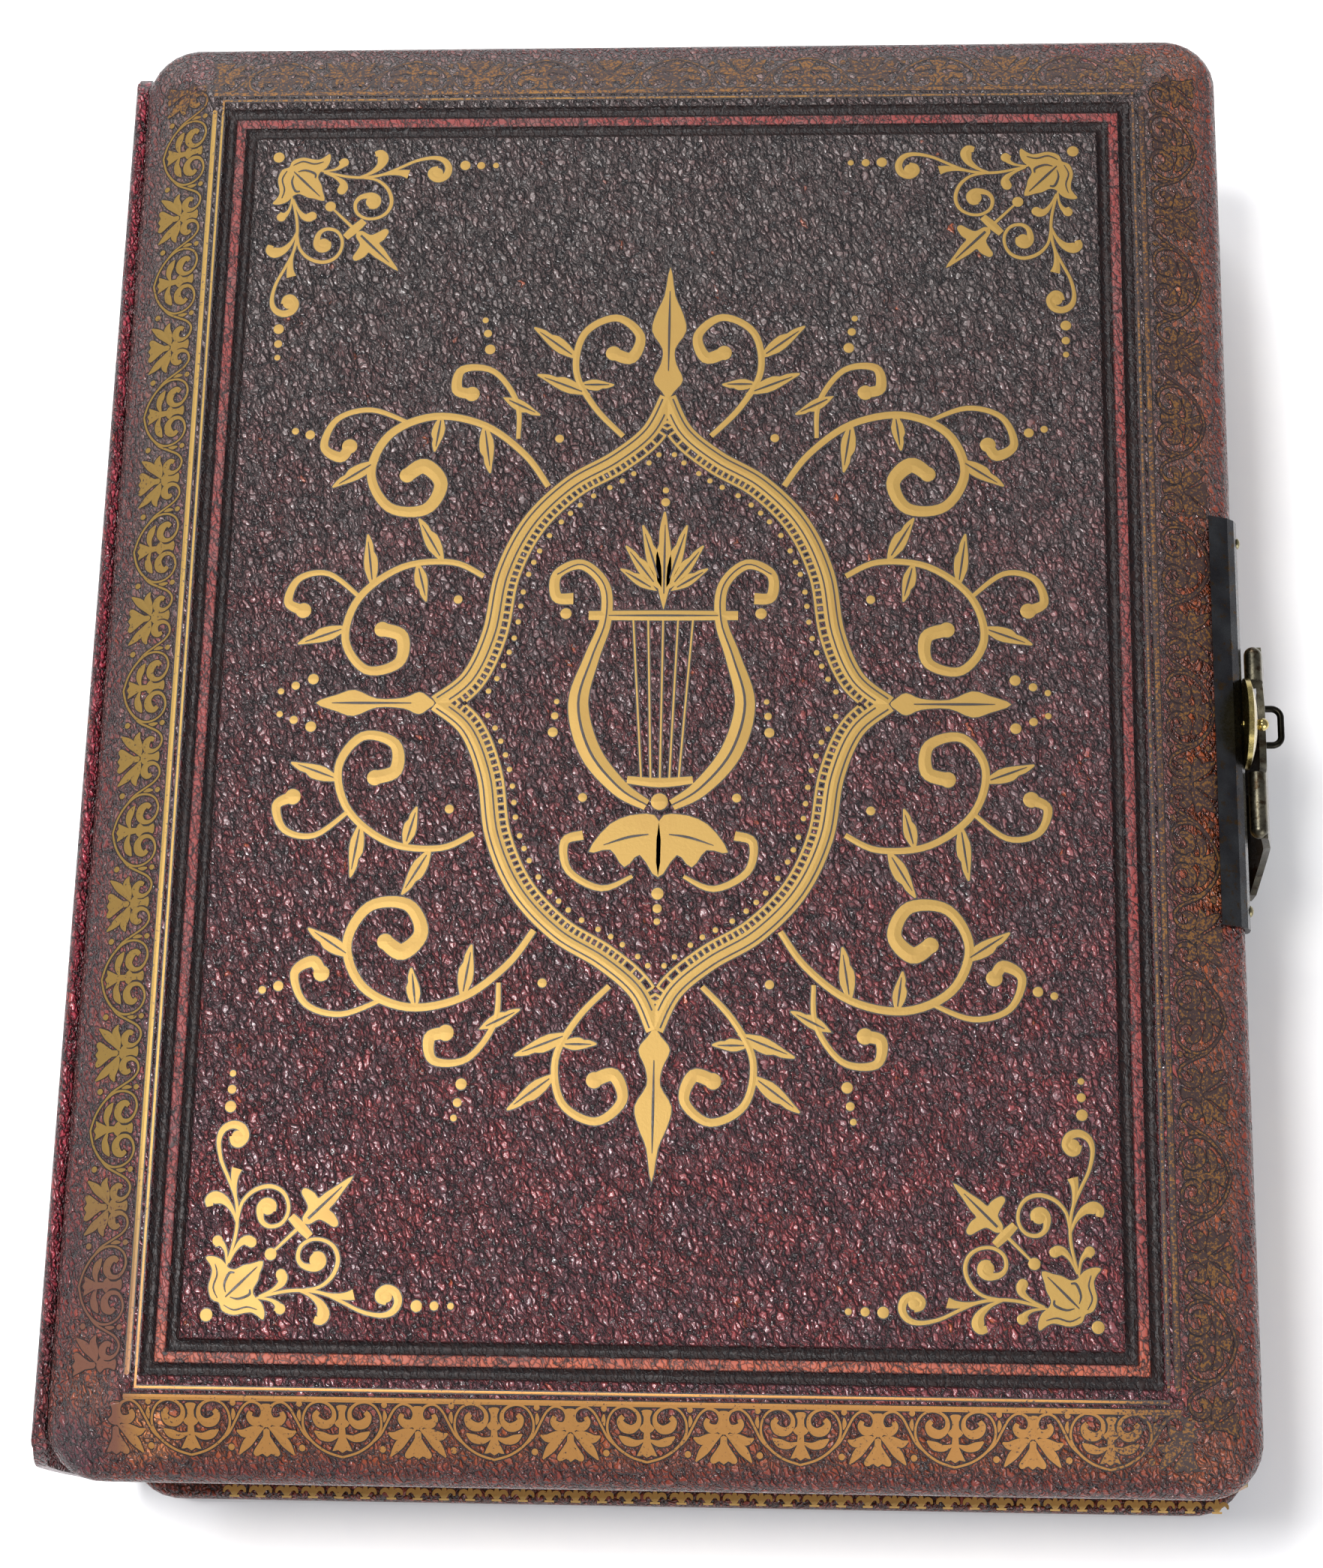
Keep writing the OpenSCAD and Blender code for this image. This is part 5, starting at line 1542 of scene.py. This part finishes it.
    @staticmethod
    def _lyre() -> Pattern:
        """Draws the lyre, with a palmette above it and leaves at its foot."""
        half = Pattern()
        arm = [(2.5, -21.0, 2.2), (8.0, -17.5, 3.4), (14.0, -10.0, 4.2), (16.6, 0.0, 4.0), (14.2, 9.5, 3.0),
            (11.6, 17.5, 2.4), (12.0, 25.0, 2.2), (16.6, 29.5, 2.1), (21.6, 27.4, 2.0), (21.6, 22.6, 2.2),
            (18.2, 22.2, 2.4)]
        half.stroke(arm, 6)
        half.cut([(x, y, w * 0.13) for x, y, w in arm[:9]], 6)
        for x in (3.0, 6.0):
            half.stroke([(x * 0.62, -15.5, 0.36), (x, 17.8, 0.36)], 1)
        half.leaf([(0.0, -24.5), (4.0, -23.0), (9.5, -25.0), (13.5, -30.5), (9.4, -30.0), (6.6, -33.5),
            (3.6, -31.0), (0.0, -35.5)], 3)
        half.cut([(2.0, -27.0, 0.2), (6.0, -27.6, 0.5), (10.8, -29.2, 0.15)])
        half.stroke([(5.0, -35.5, 0.7), (11.0, -38.0, 1.2), (17.5, -34.5, 1.4), (18.5, -28.6, 1.7),
            (14.9, -27.2, 1.9)], 5)
        for turn, reach, wide in ((17.0, 15.0, 2.7), (37.0, 12.6, 2.5), (58.0, 10.0, 2.2)):
            a = math.radians(turn)
            CentrePiece._leaflet(
                half,
                (2.2 * math.sin(a), 23.0 + 2.2 * math.cos(a)),
                (reach * math.sin(a), 23.0 + reach * math.cos(a)),
                wide,
            )
        half.dot(19.6, 19.0, 1.15)
        half.dot(21.5, -6.0, 1.0)
        half.dot(21.2, -2.6, 0.75)
        half.dot(20.9, 0.4, 0.55)
        half.dot(15.2, -19.5, 0.9)
        whole = half.mirrored()
        whole.stroke([(-15.0, 18.6, 1.9), (0.0, 18.6, 2.1), (15.0, 18.6, 1.9)], 4)
        whole.cut([(-11.0, 18.6, 0.2), (0.0, 18.6, 0.42), (11.0, 18.6, 0.2)])
        whole.stroke([(-6.5, -15.8, 1.5), (0.0, -16.4, 1.9), (6.5, -15.8, 1.5)], 4)
        whole.stroke([(0.0, -15.5, 0.36), (0.0, 17.8, 0.36)], 1)
        for y, radius in ((-20.3, 1.7), (-39.0, 1.2), (-42.0, 0.9), (-44.6, 0.65), (43.0, 0.9), (45.6, 0.65)):
            whole.dot(0.0, y, radius)
        CentrePiece._leaflet(whole, (0.0, 21.0), (0.0, 40.0), 3.4)
        return whole


@dataclass
class TurnInRoll:
    """The small upright fleurs rolled along the back cover's inner margin at the tail."""

    start: float = -92.0
    end: float = 108.0
    count: int = 38
    foot_y: float = -151.6
    face_z: float = 12.0
    edge_y: float = -152.0
    edge_fall: tuple[Point, ...] = ((0.0, 1.7), (0.07, 1.2), (0.22, 0.78), (0.46, 0.42), (0.8, 0.14),
        (1.3, 0.0))

    def height(self, y: float) -> float:
        """Gives the margin's height where it rolls over the board's edge."""
        inset = y - self.edge_y
        for (near, high), (far, low) in zip(self.edge_fall, self.edge_fall[1:]):
            if near <= inset <= far:
                return self.face_z - high - (low - high) * (inset - near) / (far - near)
        return self.face_z

    def build(self) -> None:
        """Builds the row of fleurs."""
        fleur = Pattern()
        fleur.stroke([(0.0, 0.1, 0.6), (0.0, 1.6, 1.2), (0.0, 3.1, 0.2)], 3)
        for sign in (-1, 1):
            fleur.stroke([(sign * 0.2, 0.5, 0.5), (sign * 1.0, 1.8, 0.9), (sign * 1.9, 1.7, 0.8),
                (sign * 2.2, 0.9, 0.4)], 3)
        fleur.stroke([(-1.0, 0.2, 0.4), (1.0, 0.2, 0.4)], 1)
        row = Pattern()
        for i in range(self.count):
            at = self.start + (self.end - self.start) * i / (self.count - 1)
            row.add(fleur.placed(lambda x, y, at=at: (at + x, self.foot_y + y)))
        gold = GoldLeaf("dull_turn_in_gold", leaf="#ad8a50", tarnish="#7a5730", loss=0.3)
        obj = row.mesh("gilt_turn_in", lambda x, y: self.height(y), 0.0, 0.03, 0.04)
        dress(obj, gold.make())
        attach(obj, "album")
        LOG.info("%s: %d faces", obj.name, len(obj.data.polygons))


@dataclass
class GiltTooling:
    """All the gold on the front cover: fillets, roll border, corner pieces and the centre."""

    board: LeatherBoard
    line_half_x: float = 98.0
    line_half_y: float = 136.9
    thick_line: float = 0.95
    thin_line: float = 0.45
    line_gap: float = 1.75
    corner_x: float = 83.6
    corner_y: float = 121.6
    roll: ScrollRoll = field(default_factory=ScrollRoll)
    corner: CornerPiece = field(default_factory=CornerPiece)
    centre: CentrePiece = field(default_factory=CentrePiece)

    def build(self) -> None:
        """Builds every mark of the front cover's tools."""
        worn_gold = GoldLeaf("rubbed_gold_leaf", wear_right=0.9, wear_top=0.85, wear_tail=0.8, loss=0.42)
        bright_gold = GoldLeaf("bright_gold_leaf", loss=0.14)
        self._lay("gilt_border", self._border(), worn_gold)
        self._lay("gilt_fillets", self._fillets(), worn_gold)
        self._lay("gilt_corners", self._corners(), bright_gold)
        self._lay("gilt_centre", self.centre.draw(), bright_gold)

    def _lay(self, name: str, pattern: Pattern, gold: GoldLeaf) -> None:
        """Lays a pattern in gold, over the wider impression that the hot tool leaves, painted near black as
        the shade of the sunk impression; the veins are laid on top in the same finish.

        Args:
            name: the piece's name.
            pattern: the marks, from the cover's centre.
            gold: the leaf's finish.
        """
        # Painted shade: the leather round every gold mark is near black, as the shade of the sunk impression;
        # the dark veins share this finish.
        impression_shade_and_veins = PlainFinish(
            "impression_shade_and_vein_leather", "#120b0b", "#22110f", metallic=0.0, roughness=0.5, grain=0.9, relief=0.04
        )
        moved = pattern.placed(lambda x, y: (x + self.board.centre_x, y))

        def surface(x: float, y: float) -> float:
            """Gives the leather's height under a point of the album's frame."""
            return self.board.surface(x - self.board.centre_x, y)

        veins = Pattern(strokes=moved.cuts)
        for kind, marks, finish, spread, lift, flat in (
            ("impression", moved, impression_shade_and_veins, 0.24, 0.012, 0.01),
            ("leaf", moved, gold, 0.0, 0.045, 0.04),
            ("veins", veins, impression_shade_and_veins, 0.0, 0.13, 0.03),
        ):
            if kind == "veins" and not veins.strokes:
                continue
            obj = marks.mesh(f"{name}_{kind}", surface, spread, lift, flat)
            dress(obj, bpy.data.materials.get(finish.name) or finish.make())
            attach(obj, self.board.body)
            LOG.info("%s: %d faces", obj.name, len(obj.data.polygons))

    def _border(self) -> Pattern:
        """Draws the roll along the four sides."""
        whole = Pattern()
        whole.add(
            self.roll.along(Side.SPINE, self.board, 9, -131.0, 139.0),
            self.roll.along(Side.FORE, self.board, 9, -139.0, 139.0),
            self.roll.along(Side.HEAD, self.board, 7, -98.0, 98.0),
            self.roll.along(Side.TAIL, self.board, 7, -100.0, 100.0),
        )
        return whole

    def _fillets(self) -> Pattern:
        """Draws the thick and the thin line round the panel."""
        whole = Pattern()
        for width, half_x, half_y in (
            (self.thick_line, self.line_half_x, self.line_half_y),
            (self.thin_line, self.line_half_x - self.line_gap, self.line_half_y - self.line_gap),
        ):
            for sign in (-1, 1):
                reach_x, reach_y = half_x + width / 2, half_y + width / 2
                across = [(-reach_x + reach_x * i / 20, sign * half_y, width) for i in range(41)]
                along = [(sign * half_x, -reach_y + reach_y * i / 27, width) for i in range(55)]
                whole.strokes += [across, along]
        return whole

    def _corners(self) -> Pattern:
        """Draws the four corner pieces."""
        piece = self.corner.draw()
        whole = Pattern()
        for sign_x in (-1, 1):
            for sign_y in (-1, 1):
                whole.add(
                    piece.placed(
                        lambda x, y, sx=sign_x, sy=sign_y: (sx * (self.corner_x - x),
                            sy * (self.corner_y - y))
                    )
                )
        return whole


@dataclass
class Dressing:
    """Finishes of the CAD pieces that keep their own shape, by node."""

    nodes: dict[str, bpy.types.Object]

    def build(self) -> None:
        """Dresses every piece."""
        # Cast and turned brass under lacquer: warm soft highlights, brown specks where it has gone.
        brass = PlainFinish(
            "lacquered_brass", "#b08d3c", "#8f6f2c", 1.0, 0.3, patch=9.0, grain=0.4,
            spots="#5e4a24", spot_share=0.2,
        )
        # Steel turned and left bright: a cold grey shine, a little unevenly dulled.
        steel = PlainFinish("turned_steel", "#8d8d8c", "#6c6c6d", 1.0, 0.28, patch=6.0, grain=0.3)
        # Spring steel blued by heat: a dark slate sheen with worn grey patches.
        spring = PlainFinish("blued_spring_steel", "#3c4350", "#5a5a5c", 1.0, 0.32, patch=5.0, grain=0.4)
        # Screws blued harder than the springs: small and almost black, with a crisp glint.
        screws = PlainFinish("blued_screws", "#343b4d", "#20242f", 1.0, 0.25, patch=3.0, grain=0.3)
        # Limewood planed along the grain, never varnished: matt honey brown, fine streaks, old stains.
        grain = {"patch": 5.0, "grain": 1.1, "relief": 0.06, "spots": "#6f4a28", "spot_share": 0.1}
        wood = PlainFinish("planed_limewood", "#a47a4a", "#7f5a34", 0.0, 0.55, stretch=(1, 0.07, 1), **grain)
        cross_wood = PlainFinish(
            "planed_limewood_across", "#a47a4a", "#7f5a34", 0.0, 0.55, stretch=(0.07, 1, 1), **grain
        )
        # Pasted and pressed paper board: dead matt, greyish brown, faintly fibrous.
        board = PlainFinish("pasteboard", "#8a7a62", "#776851", 0.0, 0.85, patch=18.0, grain=0.7, relief=0.05)
        # Rag paper laid on with paste: matt cream, yellowed in slow clouds, with a few foxed spots.
        paper = PlainFinish(
            "cream_endpaper", "#c4b998", "#b0a27c", 0.0, 0.8, patch=40.0, grain=0.8, relief=0.02,
            spots="#b59464",
        )
        # Thick card with burnished gold on its cut edges: cream faces, and edges that shine in fine lines
        # with painted shade between them.
        leaves = GiltEdgedLeaves("gilt_edged_card")
        # Starched open cloth soaked with glue: matt, brown and lightly ribbed.
        lining = PlainFinish("spine_mull", "#5a4a40", "#453830", 0.0, 0.9, patch=10.0, grain=0.8, relief=0.1)
        # Iron browned and oiled: a dark smooth grey with a dim highlight and rusty clouds.
        gunmetal = PlainFinish(
            "browned_gunmetal", "#4a4b4c", "#363537", 1.0, 0.3, patch=8.0, grain=0.5,
            spots="#4b3a26", spot_share=0.35,
        )
        # Brass gone olive with age: a dull grey-green shine, dark brown in the hollows.
        patina = PlainFinish(
            "patinated_brass", "#666151", "#47443a", 1.0, 0.32, patch=6.0, grain=0.5,
            spots="#3b3023", spot_share=0.5,
        )
        # Brass kept bright by fingers: pale gold with a sharp white highlight.
        bright = PlainFinish("rubbed_brass", "#b5a56a", "#8c7a48", 1.0, 0.22, patch=4.0, grain=0.4)
        # Brass pins filed flush and left to dull: small greyish dots.
        pins = PlainFinish("dulled_brass_pins", "#8d8566", "#6c6448", 1.0, 0.34, patch=2.0, grain=0.3)
        # Iron wire blackened in oil: near black with a narrow grey glint.
        wire = PlainFinish("blackened_wire", "#26241f", "#17150f", 1.0, 0.34, patch=3.0, grain=0.4)
        spine = Morocco(
            "spine_leather",
            half_x=400.0,
            half_y=152.0,
            ground_head="#4c3036",
            dye_kept=0.4,
            grooves=False,
            flesh_share=0.6,
            rim_share=0.0,
            joint=(-118.6, 63.6, 1.9),
        )
        finishes: dict[str, tuple[PlainFinish | Morocco | GiltEdgedLeaves, str]] = {
            "morocco_leather": (spine, "spine_shell"),
            "endpaper": (paper, "front_endpaper"),
            "spine_lining": (lining, "spine_liner"),
            "card_leaves": (leaves, "leaf_block"),
            "case_wood": (wood, "case_floor rail_fore rail_spine partition_long"),
            "case_wood_across": (cross_wood, "rail_head rail_tail partition_cross"),
            "case_board": (board, "case_lid"),
            "movement_brass": (
                brass,
                "keyhole_escutcheon bedplate cylinder_cock_tail cylinder_cock_head cylinder_shell"
                " cylinder_wheel comb_base barrel_drum barrel_cap barrel_cock_tail barrel_cock_head"
                " ratchet_wheel governor_wheel governor_post governor_cock fly stop_knob",
            ),
            "movement_steel": (
                steel,
                "cylinder_arbor cylinder_pinion comb barrel_arbor governor_arbor stop_lever",
            ),
            "spring_steel": (spring, "mainspring click click_spring"),
            "screw_steel": (screws, "bedplate_screws bracket_screws comb_screws click_stud stop_lever_stud"),
            "clasp_gunmetal": (gunmetal, "clasp_front_plate clasp_back_plate"),
            "clasp_patina": (patina, "clasp_arm"),
            "clasp_bright": (bright, "clasp_button clasp_stud"),
            "clasp_pins": (pins, "clasp_front_pins clasp_back_pins clasp_hinge_pin"),
            "loop_wire": (wire, "clasp_loop"),
        }
        for use, (finish, names) in finishes.items():
            material = finish.make()
            for name in names.split():
                dress(self.nodes[name], material)
                LOG.info("%s: %s", name, use)


@dataclass
class Studio:
    """The photograph's viewpoint, a pale floor and three soft lights."""

    lens: float = 68.68
    sensor: float = 36.0
    eye: tuple[float, float, float] = (29.5, -185.5, 636.7)
    right: tuple[float, float, float] = (0.99841, 0.01997, -0.05270)
    up: tuple[float, float, float] = (-0.00402, 0.95794, 0.28693)
    back: tuple[float, float, float] = (0.05622, -0.28626, 0.95650)

    def build(self) -> None:
        """Places the camera, the floor and the lights."""
        scene = bpy.context.scene
        scene.view_settings.view_transform = "Standard"
        camera = bpy.data.cameras.new("camera")
        camera.lens = self.lens
        camera.sensor_width = self.sensor
        camera.clip_start = 0.01
        holder = bpy.data.objects.new("camera", camera)
        turn = Matrix((self.right, self.up, self.back)).transposed().to_4x4()
        holder.matrix_world = Matrix.Translation(Vector(self.eye) * MM) @ turn
        scene.collection.objects.link(holder)
        scene.camera = holder
        self._floor()
        self._lights()

    def _floor(self) -> None:
        """Lays a pale paper sweep under the album."""
        bm = bmesh.new()
        bmesh.ops.create_grid(bm, x_segments=1, y_segments=1, size=3.0)
        bmesh.ops.translate(bm, verts=bm.verts, vec=(0, 0, -0.0004))
        floor = object_from(bm, "floor")
        paper = PlainFinish("white_backdrop", "#f2f2f3", "#f4f4f4", 0.0, 0.9, grain=2.0, relief=0.0)
        dress(floor, paper.make())

    def _lights(self) -> None:
        """Hangs a small light overhead, wide ones past the head and the near side, and a dim white sky."""
        world = bpy.data.worlds.new("room")
        bpy.context.scene.world = world
        world.use_nodes = True
        world.node_tree.nodes.clear()
        sky = add_node(world.node_tree, "Background", {"Color": srgb("#f4f6ff"), "Strength": 0.4})
        add_node(world.node_tree, "OutputWorld", {"Surface": sky})
        for name, spot, aim, size, power in (
            ("key", (-474, 30, 1720), (-40, -40, 70), 420, 31.0),
            ("window", (-500, 1500, 1150), (0, 0, 60), 1100, 22.0),
            ("fill", (950, -1300, 800), (60, -60, 30), 1100, 18.0),
        ):
            lamp = bpy.data.lights.new(name, "AREA")
            lamp.shape = "SQUARE"
            lamp.size = size * MM
            lamp.energy = power
            holder = bpy.data.objects.new(name, lamp)
            toward = Vector(spot) - Vector(aim)
            turn = toward.to_track_quat("Z", "Y").to_matrix().to_4x4()
            holder.matrix_world = Matrix.Translation(Vector(spot) * MM) @ turn
            bpy.context.scene.collection.objects.link(holder)


FRONT_SCUFFS = (
    Scuff(-98.0, -143.0, 69.0, 6.0, "#c07848", 0.9),
    Scuff(-111.0, -145.0, 67.0, 7.0, "#4c3040", 0.7),
    Scuff(101.0, 92.0, 71.0, 3.0, "#a5603a", 0.8),
    Scuff(104.0, -36.0, 69.0, 3.4, "#a8623c", 0.75),
    Scuff(97.0, -146.0, 67.0, 5.0, "#9c5434", 0.7),
    Scuff(-108.0, 143.0, 67.0, 7.0, "#6f2a2a", 0.7),
    Scuff(84.0, 147.0, 66.0, 6.0, "#7a3230", 0.7),
)


def main() -> None:
    """Builds the album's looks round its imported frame."""
    logging.basicConfig(level=logging.INFO, format="%(message)s")
    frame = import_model()
    Studio().build()
    Dressing(frame["nodes"]).build()
    front = LeatherBoard(
        "front_cover",
        "front_board",
        Morocco("front_morocco", centre_x=-4.0, scuffs=FRONT_SCUFFS),
        centre_x=-4.0,
        inner_z=60.7,
        up=1,
    )
    back = LeatherBoard(
        "back_cover",
        "album",
        Morocco("back_morocco", grooves=False),
        centre_x=0.0,
        inner_z=12.0,
        up=-1,
        grooved=False,
    )
    front.build()
    back.build()
    GiltTooling(front).build()
    TurnInRoll().build()


if __name__ == "__main__":
    main()
